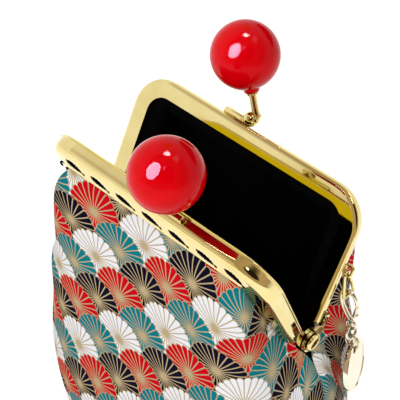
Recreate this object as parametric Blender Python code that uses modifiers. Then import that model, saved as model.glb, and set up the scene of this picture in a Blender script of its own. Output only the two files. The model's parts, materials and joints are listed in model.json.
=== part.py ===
"""Clasp purse with a two-part metal frame, built standing open on its base.

World frame: X along the purse, -Y to the front, +Z up. The origin is on the base, under the
middle of the whole length, which the charm makes a little longer on its side.
Each half of the frame is modelled upright about its own hinge line, with its outer side
towards -Y, and hangs under an empty that leans it open. The back half is the same part
turned half a turn about Z.
"""
import math

import bmesh
import bpy
from mathutils import Matrix, Vector

MM = 0.001

# Frame halves, pressed from sheet
FRAME_WIDTH = 84.0 * MM
FRAME_HEIGHT = 44.0 * MM
CORNER_RADIUS = 11.5 * MM
CHANNEL_DEPTH = 5.4 * MM
SHEET = 0.8 * MM
OUTER_FLANGE = 7.2 * MM
OUTER_FLANGE_AT_HINGE = 3.4 * MM
INNER_FLANGE = 4.2 * MM
RIM_HEIGHT = 0.5 * MM
RIM_WIDTH = 0.9 * MM
SHOULDER_RADIUS = 2.8 * MM
FLANGE_SLOPE = 0.28
CLOSED_GAP = 0.25 * MM
HALF_OPENING = math.radians(25.0)

# Hinges
HINGE_HEIGHT = 98.0 * MM
EAR_RADIUS = 3.4 * MM
EAR_SHEET = 0.9 * MM
EAR_GAP = 0.3 * MM
ARM_END = 5.6 * MM
NECK_WIDTH = 2.6 * MM
NECK_LAP = 2.6 * MM
NECK_CLEARANCE = 0.8 * MM
NECK_SET_BACK = 0.2 * MM
JOG_INSET = 0.15 * MM
RIVET_RADIUS = 1.2 * MM
RIVET_HEAD_RADIUS = 2.8 * MM
RIVET_HEAD_HEIGHT = 1.0 * MM
RIVET_TAIL_RADIUS = 1.9 * MM
RIVET_TAIL_HEIGHT = 0.7 * MM
RUNNING_CLEARANCE = 0.07 * MM
SEAT_GAP = 0.3 * MM

# Ball clasps
BALL_DIAMETER = 20.0 * MM
BALL_OFFSET = 10.2 * MM
BALL_RISE = 18.5 * MM
BALL_LEAN = -0.4 * MM
BALL_NECK_RADIUS = 2.1 * MM
BALL_NECK_LENGTH = 0.8 * MM
BALL_BORE_DEPTH = 5.0 * MM
STEM_RADIUS = 1.15 * MM
STEM_TIP_RADIUS = 0.9 * MM
STEM_COLLAR_RADIUS = 1.6 * MM
STEM_COLLAR_HEIGHT = 0.7 * MM
STEM_DEPTH = 2.75 * MM
BEAD_RADIUS = 2.25 * MM
BEAD_OFFSET = 3.0 * MM
SOLE_LENGTH = 9.0 * MM
SOLE_WIDTH = 2.0 * MM
SOLE_HEIGHT = 2.1 * MM
SOLE_BEVEL = 0.5 * MM
ELBOW_BACK = 1.7 * MM
ELBOW_RISE = 1.3 * MM

# Sewing through the outer flange
STITCH_PITCH = 10.0 * MM
STITCH_LENGTH = 6.4 * MM
STITCH_INSET = 5.0 * MM
STITCH_SHIFT = 1.4 * MM
STITCHES_EACH_WAY = 4
THREAD_RADIUS = 0.5 * MM
THREAD_SINK = 0.45 * MM
THREAD_TAIL = 2.0 * MM

# Cloth bag and lining
BAG_WIDTH = 102.4 * MM
BAG_DEPTH = 54.0 * MM
WAIST_DROP = 20.0 * MM
SIDE_DROP = 22.0 * MM
SEAM_TOP_DROP = 5.6 * MM
HINGE_PASS = 4.7 * MM
SEAM_TOP_WIDTH = 43.0 * MM
BASE_FLATTEN = 3.5 * MM
CORNER_POWER = 4.0
SHOULDER_BULGE = 14.0 * MM
SHOULDER_FORWARD = 7.5 * MM
SHOULDER_ROWS = 9.0
SHOULDER_EARLY = 0.5
UPPER_SEAM = 0.3
UPPER_SPINE = 0.42
SPINE_ON_BASE = 0.86
CLOTH = 0.6 * MM
LINING = 0.5 * MM
CLOTH_IN_CHANNEL = 2.45 * MM
LINING_IN_CHANNEL = 1.6 * MM
CLOTH_EDGE_INSET = 2.0 * MM
LINING_EDGE_INSET = 2.8 * MM
CLOTH_PAST_FLANGE = 0.8 * MM
CLOTH_SUNK = 0.4 * MM
ARM_TUCK = 1.6 * MM
ARM_TUCK_DEPTH = 1.2 * MM
LINING_STEP = 1.7 * MM
SEAM_GAP = 0.7 * MM

# Charm on the back half
CHARM_WIRE_RADIUS = 0.45 * MM
EYE_HEIGHT = 21.6 * MM
EYE_LENGTH = 3.0 * MM
EYE_REACH = 2.2 * MM
EYE_SET_BACK = 1.3 * MM
WIRE_BEND = 0.7 * MM
LINK_GAP = 0.15 * MM
CHARM_STANDOFF = 2.1 * MM
TRIANGLE_HEIGHT = 7.6 * MM
TRIANGLE_WIDTH = 4.2 * MM
CLASP_LENGTH = 10.0 * MM
CLASP_WIDTH = 5.6 * MM
CLASP_BACK = (104.0, 396.0)
CLASP_GATE = (48.0, 94.0)
CLASP_WIRE_RADIUS = 0.65 * MM
GATE_WIRE_RADIUS = 0.5 * MM
EYELET_RADIUS = 1.5 * MM
UPPER_RING_RADIUS = 2.3 * MM
LOWER_RING_RADIUS = 2.3 * MM
TAG_RADIUS = 7.9 * MM
TAG_THICKNESS = 1.6 * MM
TAG_HOLE_RADIUS = 1.3 * MM
TAG_BRIDGE = 1.0 * MM
TAG_RIM = 0.9 * MM
TAG_TWIST = math.radians(20.0)

# Colours: (red, green, blue), roughness, metallic
GOLD = ((0.83, 0.62, 0.25), 0.14, 1.0)
PALE_GOLD = ((0.80, 0.74, 0.58), 0.2, 1.0)
RED = ((0.62, 0.0, 0.01), 0.06, 0.0)
NAVY = ((0.01, 0.015, 0.05), 0.7, 0.0)
PRINT = ((0.25, 0.12, 0.12), 0.75, 0.0)
BLACK = ((0.01, 0.01, 0.012), 0.8, 0.0)


def clear_scene():
    for thing in list(bpy.data.objects):
        bpy.data.objects.remove(thing, do_unlink=True)


def make_collection(name):
    collection = bpy.data.collections.new(name)
    bpy.context.scene.collection.children.link(collection)
    return collection


def material(name, finish):
    colour, roughness, metallic = finish
    made = bpy.data.materials.new(name)
    made.use_nodes = True
    shader = made.node_tree.nodes["Principled BSDF"]
    shader.inputs["Base Color"].default_value = (*colour, 1.0)
    shader.inputs["Roughness"].default_value = roughness
    shader.inputs["Metallic"].default_value = metallic
    return made


def add_object(name, mesh, collection, parent=None, finish=None, smooth=True):
    thing = bpy.data.objects.new(name, mesh)
    collection.objects.link(thing)
    thing.parent = parent
    if finish:
        mesh.materials.append(material(name, finish))
    if smooth:
        mesh.shade_smooth()
        mesh.set_sharp_from_angle(angle=math.radians(35))
    return thing


def add_cutter(name, mesh, parent=None):
    thing = add_object(name, mesh, bpy.data.collections["cutters"], parent, smooth=False)
    thing.hide_render = True
    thing.display_type = "WIRE"
    return thing


def boolean(target, other, operation):
    modifier = target.modifiers.new(operation.lower() + "_" + other.name, "BOOLEAN")
    modifier.operation = operation
    modifier.object = other
    modifier.solver = "EXACT"


def mesh_from_bmesh(name, shape):
    bmesh.ops.recalc_face_normals(shape, faces=shape.faces[:])
    mesh = bpy.data.meshes.new(name)
    shape.to_mesh(mesh)
    shape.free()
    return mesh


def loft(name, rings):
    """A closed solid through rings of equal length, with flat ends."""
    shape = bmesh.new()
    rows = [[shape.verts.new(point) for point in ring] for ring in rings]
    for lower, upper in zip(rows, rows[1:]):
        for k in range(len(lower)):
            after = (k + 1) % len(lower)
            shape.faces.new((lower[k], lower[after], upper[after], upper[k]))
    shape.faces.new(rows[0][::-1])
    shape.faces.new(rows[-1])
    return mesh_from_bmesh(name, shape)


def tube(name, points, radius, sides=2, closed=False, radii=None):
    """A wire along points, as a mesh."""
    curve = bpy.data.curves.new(name, "CURVE")
    curve.dimensions = "3D"
    curve.bevel_depth = radius
    curve.bevel_resolution = sides
    curve.use_fill_caps = not closed
    spline = curve.splines.new("POLY")
    spline.points.add(len(points) - 1)
    for k, point in enumerate(points):
        spline.points[k].co = (*point, 1.0)
        spline.points[k].radius = radii[k] if radii else 1.0
    spline.use_cyclic_u = closed
    holder = bpy.data.objects.new(name, curve)
    bpy.context.scene.collection.objects.link(holder)
    graph = bpy.context.evaluated_depsgraph_get()
    mesh = bpy.data.meshes.new_from_object(holder.evaluated_get(graph))
    bpy.data.objects.remove(holder)
    bpy.data.curves.remove(curve)
    shape = bmesh.new()
    shape.from_mesh(mesh)
    bmesh.ops.remove_doubles(shape, verts=shape.verts[:], dist=0.001 * MM)
    bmesh.ops.recalc_face_normals(shape, faces=shape.faces[:])
    shape.to_mesh(mesh)
    shape.free()
    return mesh


def turned(name, profile, collection, steps=32, parent=None, finish=None):
    """A solid turned about Z, from (radius, height) points that run down its outer side."""
    shape = bmesh.new()
    rows = [shape.verts.new((radius, 0.0, height)) for radius, height in profile]
    for upper, lower in zip(rows, rows[1:]):
        shape.edges.new((upper, lower))
    mesh = bpy.data.meshes.new(name)
    shape.to_mesh(mesh)
    shape.free()
    thing = add_object(name, mesh, collection, parent, finish, smooth=False)
    screw = thing.modifiers.new("turn", "SCREW")
    screw.steps = steps
    screw.render_steps = steps
    screw.use_merge_vertices = True
    screw.merge_threshold = 0.001 * MM
    return thing


def cylinders(name, places, radius, length, sides=16):
    """One cutter mesh of upright or turned cylinders, each placed by a matrix."""
    shape = bmesh.new()
    for place in places:
        bmesh.ops.create_cone(
            shape, cap_ends=True, segments=sides, radius1=radius, radius2=radius,
            depth=length, matrix=place)
    return mesh_from_bmesh(name, shape)


def smooth_step(value):
    value = min(1.0, max(0.0, value))
    return value * value * (3.0 - 2.0 * value)


# Frame geometry: x along the frame, h up its arms, inset from its outer edge, d outwards

HALF_WIDTH = FRAME_WIDTH / 2
STRAIGHT_HALF = HALF_WIDTH - CORNER_RADIUS
ARM_TOP = FRAME_HEIGHT - CORNER_RADIUS
OUTER_FACE = CLOSED_GAP + CHANNEL_DEPTH


def in_half(x, h, d):
    """A point of the upright half, whose outer side faces -Y."""
    return Vector((x, -d, h))


def flange_width(h):
    share = (h - ARM_END) / (ARM_TOP - ARM_END)
    share = min(1.0, max(0.0, share))
    return OUTER_FLANGE_AT_HINGE + (OUTER_FLANGE - OUTER_FLANGE_AT_HINGE) * share


def flange_rise(inset):
    """How far the outer flange flares outwards at an inset past the shoulder."""
    return FLANGE_SLOPE * max(0.0, inset - RIM_HEIGHT - SHOULDER_RADIUS)


def outline_stations(corner_steps=8, arm_steps=3, bar_steps=2):
    """Outer edge of a half from the +X arm's end to the -X arm's end: (x, h, inward x, inward h)."""
    stations = []
    for k in range(arm_steps):
        h = ARM_END + (ARM_TOP - ARM_END) * k / arm_steps
        stations.append((HALF_WIDTH, h, -1.0, 0.0))
    for k in range(corner_steps):
        angle = math.pi / 2 * k / corner_steps
        stations.append(corner_station(1.0, angle))
    for k in range(bar_steps):
        x = STRAIGHT_HALF * (1.0 - k / bar_steps)
        stations.append((x, FRAME_HEIGHT, 0.0, -1.0))
    mirrored = [(-x, h, -inward_x, inward_h) for x, h, inward_x, inward_h in stations[::-1]]
    return stations + [(0.0, FRAME_HEIGHT, 0.0, -1.0)] + mirrored


def corner_station(side, angle):
    x = STRAIGHT_HALF + CORNER_RADIUS * math.cos(angle)
    h = ARM_TOP + CORNER_RADIUS * math.sin(angle)
    return (side * x, h, -side * math.cos(angle), -math.sin(angle))


def channel_section(outer_width):
    """The U of the channel, as (inset, d), from the outer flange's edge round to its inside."""
    inner_face = CLOSED_GAP
    middle = (RIM_HEIGHT + SHOULDER_RADIUS, OUTER_FACE - SHOULDER_RADIUS)
    inside = SHOULDER_RADIUS - SHEET
    edge = OUTER_FACE + flange_rise(outer_width)
    points = [(outer_width, edge)]
    points += [around(middle, SHOULDER_RADIUS, turn) for turn in (0, 30, 60, 90)]
    points += [
        (RIM_HEIGHT, inner_face + RIM_WIDTH + 0.1 * MM),
        (RIM_HEIGHT - 0.1 * MM, inner_face + RIM_WIDTH),
        (0.1 * MM, inner_face + RIM_WIDTH),
        (0.0, inner_face + RIM_WIDTH - 0.2 * MM),
        (0.0, inner_face + 0.2 * MM),
        (0.2 * MM, inner_face),
        (INNER_FLANGE, inner_face),
        (INNER_FLANGE, inner_face + SHEET),
        (RIM_HEIGHT + SHEET, inner_face + SHEET),
    ]
    points += [around(middle, inside, turn) for turn in (90, 45, 0)]
    points.append((outer_width, edge - SHEET))
    return points


def around(middle, radius, degrees):
    turn = math.radians(degrees)
    return (middle[0] - radius * math.sin(turn), middle[1] + radius * math.cos(turn))


def channel_mesh(name):
    rings = []
    for x, h, inward_x, inward_h in outline_stations():
        section = channel_section(flange_width(h))
        rings.append([in_half(x + inward_x * i, h + inward_h * i, d) for i, d in section])
    return loft(name, rings)


def ear_outline(bottom, top, neck_from, neck_to, arc_steps=14):
    """Outline of a hinge ear as (d, h): a round eye with a neck that rises to the arm."""
    start = math.atan2(top, neck_to) * 0.55
    end = math.pi - start
    points = []
    for k in range(arc_steps + 1):
        angle = start - (2 * math.pi - (end - start)) * k / arc_steps
        points.append((bottom * math.cos(angle), bottom * math.sin(angle)))
    waist = ARM_END - NECK_CLEARANCE
    return points + [(neck_from, waist), (neck_from, top), (neck_to, top)]


def ear_mesh(name, x_low, x_high, top):
    neck_from = CLOSED_GAP + RIM_WIDTH + NECK_SET_BACK
    outline = ear_outline(EAR_RADIUS, top, neck_from, neck_from + NECK_WIDTH)
    rings = [[in_half(x, h, d) for d, h in outline] for x in (x_low, x_high)]
    return loft(name, rings)


def jog_mesh(name, x_low, x_high):
    """The step that carries the outer ear out from its arm."""
    neck_from = CLOSED_GAP + RIM_WIDTH + NECK_SET_BACK + JOG_INSET
    neck_to = neck_from + NECK_WIDTH - 2 * JOG_INSET
    bottom = ARM_END + 0.2 * MM
    top = ARM_END + NECK_LAP
    rings = []
    for h, reach in ((bottom, x_low), (top - 0.9 * MM, x_low), (top + 0.5 * MM, x_high - 0.3 * MM)):
        inner = x_high
        rings.append([
            in_half(inner, h, neck_from), in_half(reach, h, neck_from),
            in_half(reach, h, neck_to), in_half(inner, h, neck_to)])
    return loft(name, rings)


INNER_EAR_LOW = HALF_WIDTH - RIM_HEIGHT - SHEET - 0.05 * MM
INNER_EAR_HIGH = INNER_EAR_LOW + EAR_SHEET
OUTER_EAR_LOW = INNER_EAR_HIGH + EAR_GAP
OUTER_EAR_HIGH = OUTER_EAR_LOW + EAR_SHEET


def stitch_line(s):
    """A point (x, h) on the sewing line, s along it from the middle of the bar."""
    side = 1.0 if s >= 0 else -1.0
    run = abs(s)
    radius = CORNER_RADIUS - STITCH_INSET
    arc = radius * math.pi / 2
    if run <= STRAIGHT_HALF:
        return side * run, FRAME_HEIGHT - STITCH_INSET
    if run <= STRAIGHT_HALF + arc:
        turn = (run - STRAIGHT_HALF) / radius
        return side * (STRAIGHT_HALF + radius * math.sin(turn)), ARM_TOP + radius * math.cos(turn)
    return side * (HALF_WIDTH - STITCH_INSET), ARM_TOP - (run - STRAIGHT_HALF - arc)


def stitch_middles():
    return [STITCH_SHIFT + k * STITCH_PITCH
            for k in range(-STITCHES_EACH_WAY, STITCHES_EACH_WAY + 1)]


def needle_holes():
    places = []
    middle_depth = OUTER_FACE + flange_rise(STITCH_INSET) - SHEET / 2
    for middle in stitch_middles():
        for end in (-0.5, 0.5):
            x, h = stitch_line(middle + end * STITCH_LENGTH)
            turn = Matrix.Rotation(math.pi / 2, 4, "X")
            places.append(Matrix.Translation(in_half(x, h, middle_depth)) @ turn)
    return places


def thread_points():
    """A running stitch: over the flange between two holes, behind it to the next pair."""
    face = OUTER_FACE + flange_rise(STITCH_INSET)
    outside = face + SEAT_GAP + THREAD_RADIUS
    inside = face - SHEET - THREAD_SINK - THREAD_RADIUS
    points = []
    for middle in stitch_middles():
        first = middle - STITCH_LENGTH / 2
        last = middle + STITCH_LENGTH / 2
        rising = [(-1.0, inside), (-0.3, inside + 0.15 * MM), (0.3, outside - 0.15 * MM),
                  (1.0, outside)]
        for step, d in rising:
            points.append((first + step * MM, d))
        points.append((middle, outside + 0.1 * MM))
        for step, d in rising[::-1]:
            points.append((last - step * MM, d))
    points.insert(0, (points[0][0] - THREAD_TAIL, inside))
    points.append((points[-1][0] + THREAD_TAIL, inside))
    return [in_half(*stitch_line(s), d) for s, d in points]


def build_half(side, hinge, parts):
    """One pressed half of the frame with its inner ear at +X and its outer ear at -X."""
    frame = add_object(side + "_frame", channel_mesh(side + "_frame"), parts, hinge, GOLD)
    inner_ear = ear_mesh(side + "_inner_ear", INNER_EAR_LOW, INNER_EAR_HIGH, ARM_END + NECK_LAP)
    boolean(frame, add_cutter(side + "_inner_ear", inner_ear, hinge), "UNION")
    outer_ear = ear_mesh(side + "_outer_ear", -OUTER_EAR_HIGH, -OUTER_EAR_LOW, ARM_END + NECK_LAP)
    boolean(frame, add_cutter(side + "_outer_ear", outer_ear, hinge), "UNION")
    jog = jog_mesh(side + "_jog", -OUTER_EAR_LOW - 0.2 * MM, -INNER_EAR_HIGH + 0.3 * MM)
    boolean(frame, add_cutter(side + "_jog", jog, hinge), "UNION")
    across = Matrix.Rotation(math.pi / 2, 4, "Y")
    eyes = cylinders(side + "_rivet_holes", [across], rivet_hole_radius(), FRAME_WIDTH * 1.2, 24)
    boolean(frame, add_cutter(side + "_rivet_holes", eyes, hinge), "DIFFERENCE")
    holes = cylinders(
        side + "_needle_holes", needle_holes(), THREAD_RADIUS + SEAT_GAP, SHEET * 2, 8)
    boolean(frame, add_cutter(side + "_needle_holes", holes, hinge), "DIFFERENCE")
    thread = tube(side + "_sewing_thread", thread_points(), THREAD_RADIUS, 1)
    add_object(side + "_sewing_thread", thread, parts, hinge, NAVY)
    build_stem(side, hinge, parts)
    build_ball(side, hinge, parts)


def rivet_hole_radius():
    return (RIVET_RADIUS + RUNNING_CLEARANCE) / math.cos(math.pi / 24)


def build_rivet(side, sign, hinge, parts):
    """A rivet through both ears at one end of the hinge line, with its head outside."""
    outer = OUTER_EAR_HIGH + SEAT_GAP
    inner = INNER_EAR_LOW - SEAT_GAP
    profile = [
        (0.0, outer + RIVET_HEAD_HEIGHT),
        (RIVET_HEAD_RADIUS * 0.72, outer + RIVET_HEAD_HEIGHT * 0.92),
        (RIVET_HEAD_RADIUS * 0.95, outer + RIVET_HEAD_HEIGHT * 0.55),
        (RIVET_HEAD_RADIUS, outer + RIVET_HEAD_HEIGHT * 0.25),
        (RIVET_HEAD_RADIUS, outer),
        (RIVET_RADIUS, outer),
        (RIVET_RADIUS, inner),
        (RIVET_TAIL_RADIUS, inner),
        (RIVET_TAIL_RADIUS * 0.8, inner - RIVET_TAIL_HEIGHT),
        (0.0, inner - RIVET_TAIL_HEIGHT),
    ]
    rivet = turned(side + "_rivet", profile, parts, 20, hinge, GOLD)
    rivet.rotation_euler = (0.0, sign * math.pi / 2, 0.0)


BALL_MIDDLE = in_half(BALL_OFFSET, FRAME_HEIGHT + BALL_RISE, BALL_LEAN)
SOLE_BOTTOM = FRAME_HEIGHT - RIM_HEIGHT + SEAT_GAP
BEAD_MIDDLE = in_half(BEAD_OFFSET, SOLE_BOTTOM + BEAD_RADIUS, STEM_DEPTH)
ELBOW = in_half(BEAD_OFFSET - ELBOW_BACK, SOLE_BOTTOM + BEAD_RADIUS + ELBOW_RISE, STEM_DEPTH)


def stem_direction():
    return (BALL_MIDDLE - ELBOW).normalized()


def build_stem(side, hinge, parts):
    """Sole on the bar, bead at the elbow, and a rod that leans out and up into the ball."""
    along = stem_direction()
    seat = BALL_MIDDLE - along * (BALL_DIAMETER / 2 + BALL_NECK_LENGTH + SEAT_GAP)
    tip = BALL_MIDDLE - along * (BALL_DIAMETER / 2 - BALL_BORE_DEPTH + SEAT_GAP * 2)
    collar = seat - along * STEM_COLLAR_HEIGHT
    bend = ELBOW + Vector((-0.25 * MM, 0.0, 0.9 * MM))
    clear = ELBOW + along * 2.2 * MM
    points = [BEAD_MIDDLE, ELBOW - Vector((0.1 * MM, 0.0, 0.6 * MM)), bend, clear, collar,
              collar + along * 0.05 * MM, seat, seat + along * 0.02 * MM, tip]
    sizes = [1.0, 1.0, 1.0, 1.0, 1.0, STEM_COLLAR_RADIUS / STEM_RADIUS,
             STEM_COLLAR_RADIUS / STEM_RADIUS, STEM_TIP_RADIUS / STEM_RADIUS,
             STEM_TIP_RADIUS / STEM_RADIUS]
    rod = tube(side + "_ball_stem", points, STEM_RADIUS, 4, radii=sizes)
    stem = add_object(side + "_ball_stem", rod, parts, hinge, GOLD)
    bead = bmesh.new()
    bmesh.ops.create_uvsphere(bead, u_segments=20, v_segments=12, radius=BEAD_RADIUS,
                              matrix=Matrix.Translation(BEAD_MIDDLE))
    boolean(stem, add_cutter(side + "_bead", mesh_from_bmesh(side + "_bead", bead), hinge), "UNION")
    boolean(stem, add_cutter(side + "_sole", sole_mesh(side), hinge), "UNION")


def sole_mesh(side):
    sole = bmesh.new()
    middle = in_half(BEAD_OFFSET + SOLE_LENGTH / 2, SOLE_BOTTOM + SOLE_HEIGHT / 2, STEM_DEPTH)
    size = Matrix.Diagonal((SOLE_LENGTH, SOLE_WIDTH, SOLE_HEIGHT, 1.0))
    bmesh.ops.create_cube(sole, size=1.0, matrix=Matrix.Translation(middle) @ size)
    bmesh.ops.bevel(sole, geom=sole.edges[:], offset=SOLE_BEVEL, segments=2, profile=0.5,
                    affect="EDGES")
    return mesh_from_bmesh(side + "_sole", sole)


def build_ball(side, hinge, parts):
    """A ball with a short neck and a blind bore for the stem's tip."""
    radius = BALL_DIAMETER / 2
    bore = STEM_TIP_RADIUS + SEAT_GAP
    neck_turn = math.asin(BALL_NECK_RADIUS * 1.25 / radius)
    profile = []
    steps = 12
    for k in range(steps + 1):
        turn = (math.pi - neck_turn) * k / steps
        profile.append((radius * math.sin(turn), radius * math.cos(turn)))
    bottom = -radius - BALL_NECK_LENGTH
    profile += [(BALL_NECK_RADIUS, -radius), (BALL_NECK_RADIUS * 0.9, bottom), (bore, bottom),
                (bore, -radius + BALL_BORE_DEPTH), (0.0, -radius + BALL_BORE_DEPTH)]
    ball = turned(side + "_ball", profile, parts, 24, hinge, RED)
    ball.location = BALL_MIDDLE
    ball.rotation_euler = stem_direction().to_track_quat("Z", "Y").to_euler()


# Cloth: each panel is a grid of rows from the channel down to the base seam

ROW_POINTS = 9
SIDE_ROWS = 6
LOWER_ROWS = 10
ROWS = SIDE_ROWS + LOWER_ROWS
CLOTH_BEND = OUTER_FACE - CLOTH_SUNK


def lean(x, h, d):
    """A point of the front half as it stands open, in the world."""
    upright = in_half(x, h, d)
    turned_point = Matrix.Rotation(HALF_OPENING, 3, "X") @ upright
    return turned_point + Vector((0.0, 0.0, HINGE_HEIGHT))


def ring_point(level, run, inner):
    """Where cloth passes the frame: run 0 is the bar's middle, 1 the corner, 2 the arm's end.

    Level 0 is its hidden edge in the channel, 1 the fold at the flange's edge, 2 just outside.
    """
    if run <= 1.0:
        x, h, inward_x, inward_h = bar_station(run)
    else:
        x, h, inward_x, inward_h = arm_station(run - 1.0)
    inset = LINING_EDGE_INSET if inner else CLOTH_EDGE_INSET
    tuck = smooth_step((run - 1.0) * 2.0)
    if level > 0:
        inset = flange_width(h) + CLOTH_PAST_FLANGE + ARM_TUCK * tuck
    if level == 1 and inner:
        inset += LINING_STEP
    d = CLOTH_BEND + flange_rise(flange_width(h)) - ARM_TUCK_DEPTH * tuck
    if level < 2:
        d = LINING_IN_CHANNEL if inner else CLOTH_IN_CHANNEL
    return lean(x + inward_x * inset, h + inward_h * inset, d)


def bar_station(share):
    half_arc = CORNER_RADIUS * math.pi / 4
    run = share * (STRAIGHT_HALF + half_arc)
    if run <= STRAIGHT_HALF:
        return run, FRAME_HEIGHT, 0.0, -1.0
    turn = (run - STRAIGHT_HALF) / CORNER_RADIUS
    return corner_station(1.0, math.pi / 2 - turn)


def arm_station(share):
    half_arc = CORNER_RADIUS * math.pi / 4
    run = share * (half_arc + ARM_TOP - ARM_END)
    if run <= half_arc:
        return corner_station(1.0, math.pi / 4 - run / CORNER_RADIUS)
    return HALF_WIDTH, ARM_TOP - (run - half_arc), -1.0, 0.0


def power_arc(width, height, turn):
    """A quarter of a squared-off ellipse: turn 0 is out to the side, pi/2 at the bottom."""
    share = 2.0 / CORNER_POWER
    return width * math.cos(turn) ** share, height * math.sin(turn) ** share


def floor_turn(reach):
    """The turn at which a squared-off arc that drops by reach meets the base."""
    return math.asin((reach / (reach + BASE_FLATTEN)) ** (CORNER_POWER / 2.0))


def wall_arc(half, reach, share):
    """Down a side wall and under it: (out, z), share 0 at the wall's top, 1 on the base."""
    out, drop = power_arc(half, reach + BASE_FLATTEN, floor_turn(reach) * share)
    return out, BASE_LEVEL + reach - drop


BASE_LEVEL = CLOTH / 2


def side_reach(z):
    """How far out the side seam stands at a level of its upper part, below the hinge."""
    rest = (z - HINGE_HEIGHT + SIDE_DROP) / (SIDE_DROP - SEAM_TOP_DROP)
    rest = min(1.0, max(0.0, rest))
    return BAG_WIDTH / 2 - (BAG_WIDTH / 2 - SEAM_TOP_WIDTH) * rest ** 1.8


def seam_point(share):
    """Side seam at +X: share 0 is its top under the hinge, 1 where it meets the base seam."""
    if share >= UPPER_SEAM:
        reach = HINGE_HEIGHT - SIDE_DROP - BASE_LEVEL
        x, z = wall_arc(BAG_WIDTH / 2, reach, (share - UPPER_SEAM) / (1.0 - UPPER_SEAM))
        return Vector((x, -SEAM_GAP / 2, z))
    z = HINGE_HEIGHT - SIDE_DROP + (SIDE_DROP - SEAM_TOP_DROP) * (1.0 - share / UPPER_SEAM)
    return Vector((side_reach(z), -SEAM_GAP / 2, z))


def spine_point(share):
    """Middle line of the front panel: share 0 under the bar, 1 at the base seam."""
    start = ring_point(2, 0.0, False)
    half = BAG_DEPTH / 2
    waist = HINGE_HEIGHT - WAIST_DROP
    if share < UPPER_SPINE:
        rest = 1.0 - share / UPPER_SPINE
        y = -half + (start.y + half) * rest ** 2
        return Vector((0.0, y, waist + (start.z - waist) * rest))
    if share < SPINE_ON_BASE:
        down = (share - UPPER_SPINE) / (SPINE_ON_BASE - UPPER_SPINE)
        out, z = wall_arc(half, waist - BASE_LEVEL, down)
        return Vector((0.0, -out, z))
    out, z = wall_arc(half, waist - BASE_LEVEL, 1.0)
    rest = (1.0 - share) / (1.0 - SPINE_ON_BASE)
    return Vector((0.0, -SEAM_GAP / 2 - (out - SEAM_GAP / 2) * rest, z))


def side_run(row, level):
    """How far down the side a row meets the frame, from 1 at the corner to 2."""
    return 1.0 + (row - level) / (SIDE_ROWS - level)


def hinge_pass(step):
    """Where a row passes the hinge: in front of the ears, and inside the rivet's tail."""
    y = step * 0.6 - HINGE_PASS
    edge = Vector((INNER_EAR_LOW - SEAT_GAP - step, y, HINGE_HEIGHT - 1.5 * MM))
    return [edge, edge + Vector((0.4 * MM, -1.6 * MM, 0.0)), edge + Vector((0.9 * MM, -3.4 * MM, 0.0))]


def side_edges(row, inner):
    """The last three points of a row at +X, from the cloth's edge inwards."""
    if row <= SIDE_ROWS:
        return [ring_point(level, side_run(row, level), inner) for level in range(3)]
    if row == SIDE_ROWS + 1:
        return hinge_pass(LINING_STEP if inner else 0.0)
    share = (row - SIDE_ROWS - 2) / (ROWS - SIDE_ROWS - 2)
    edge = seam_point(share)
    settle = smooth_step((share - 0.85) / 0.15)
    inward = Vector((-1.8 * MM * settle, -1.6 * MM * (1.0 - settle), 0.0))
    return [edge, edge + inward, edge + inward * 2.2]


def bezier(ends, share):
    a, b, c, d = ends
    rest = 1.0 - share
    return a * rest ** 3 + b * 3 * rest ** 2 * share + c * 3 * rest * share ** 2 + d * share ** 3


def half_row(row, inner):
    """Points of one row from its edge at +X to the middle of the panel."""
    count = ROW_POINTS + 3
    if row < 3:
        hidden = [ring_point(k, side_run(row, k), inner) for k in range(row)]
        return hidden + [ring_point(row, 1.0 - (k - row) / (count - 1 - row), inner)
                         for k in range(row, count)]
    edges = side_edges(row, inner)
    spine = spine_point((row - 2) / (ROWS - 2))
    start = edges[2]
    outer = start.lerp(spine, 0.9)
    fullness = math.sin(math.pi * min(1.0, (row - 2) / SHOULDER_ROWS) ** SHOULDER_EARLY)
    outer.x = start.x + SHOULDER_BULGE * fullness
    outer.y -= SHOULDER_FORWARD * fullness
    middle = Vector((start.x * 0.7, spine.y, spine.z))
    ends = (start, outer, middle, spine)
    return edges[:2] + [bezier(ends, k / ROW_POINTS) for k in range(ROW_POINTS + 1)]


def panel_mesh(name, inner):
    """The front cloth as one sheet. The lining is the same sheet moved in by one step."""
    shape = bmesh.new()
    grid = []
    for row in range(ROWS + 1):
        right = half_row(row, inner)
        left = [Vector((-point.x, point.y, point.z)) for point in right[:-1]]
        grid.append([shape.verts.new(point) for point in left + right[::-1]])
    for upper, lower in zip(grid, grid[1:]):
        for k in range(len(upper) - 1):
            shape.faces.new((upper[k], lower[k], lower[k + 1], upper[k + 1]))
    shape.normal_update()
    if inner:
        move_in(grid)
    mesh = bpy.data.meshes.new(name)
    shape.to_mesh(mesh)
    shape.free()
    return mesh


def move_in(grid):
    """Move a sheet's points towards the inside, except where the channel holds them."""
    moves = []
    for row, points in enumerate(grid):
        for k, point in enumerate(points):
            from_edge = min(k, len(points) - 1 - k)
            held = row < 2 or (from_edge < 2 and row <= SIDE_ROWS)
            held = held or (from_edge < 3 and row == SIDE_ROWS + 1)
            if held:
                continue
            spread = min(point.calc_shell_factor(), 1.3)
            moves.append((point, point.normal * spread * LINING_STEP))
    for point, move in moves:
        point.co -= move
        point.co.y = min(point.co.y, -SEAM_GAP / 2)


def build_panel(name, half_turn, inner, parts, finish):
    """One sheet of cloth. half_turn puts the same shape at the back."""
    mesh = panel_mesh(name, inner)
    if half_turn:
        mesh.transform(Matrix.Rotation(math.pi, 4, "Z"))
    panel = add_object(name, mesh, parts, None, finish)
    solid = panel.modifiers.new("thickness", "SOLIDIFY")
    solid.thickness = LINING if inner else CLOTH
    solid.offset = 0.0


def build_cloth(parts):
    build_panel("front_panel", False, False, parts, PRINT)
    build_panel("back_panel", True, False, parts, PRINT)
    build_panel("front_lining", False, True, parts, BLACK)
    build_panel("back_lining", True, True, parts, BLACK)


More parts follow.
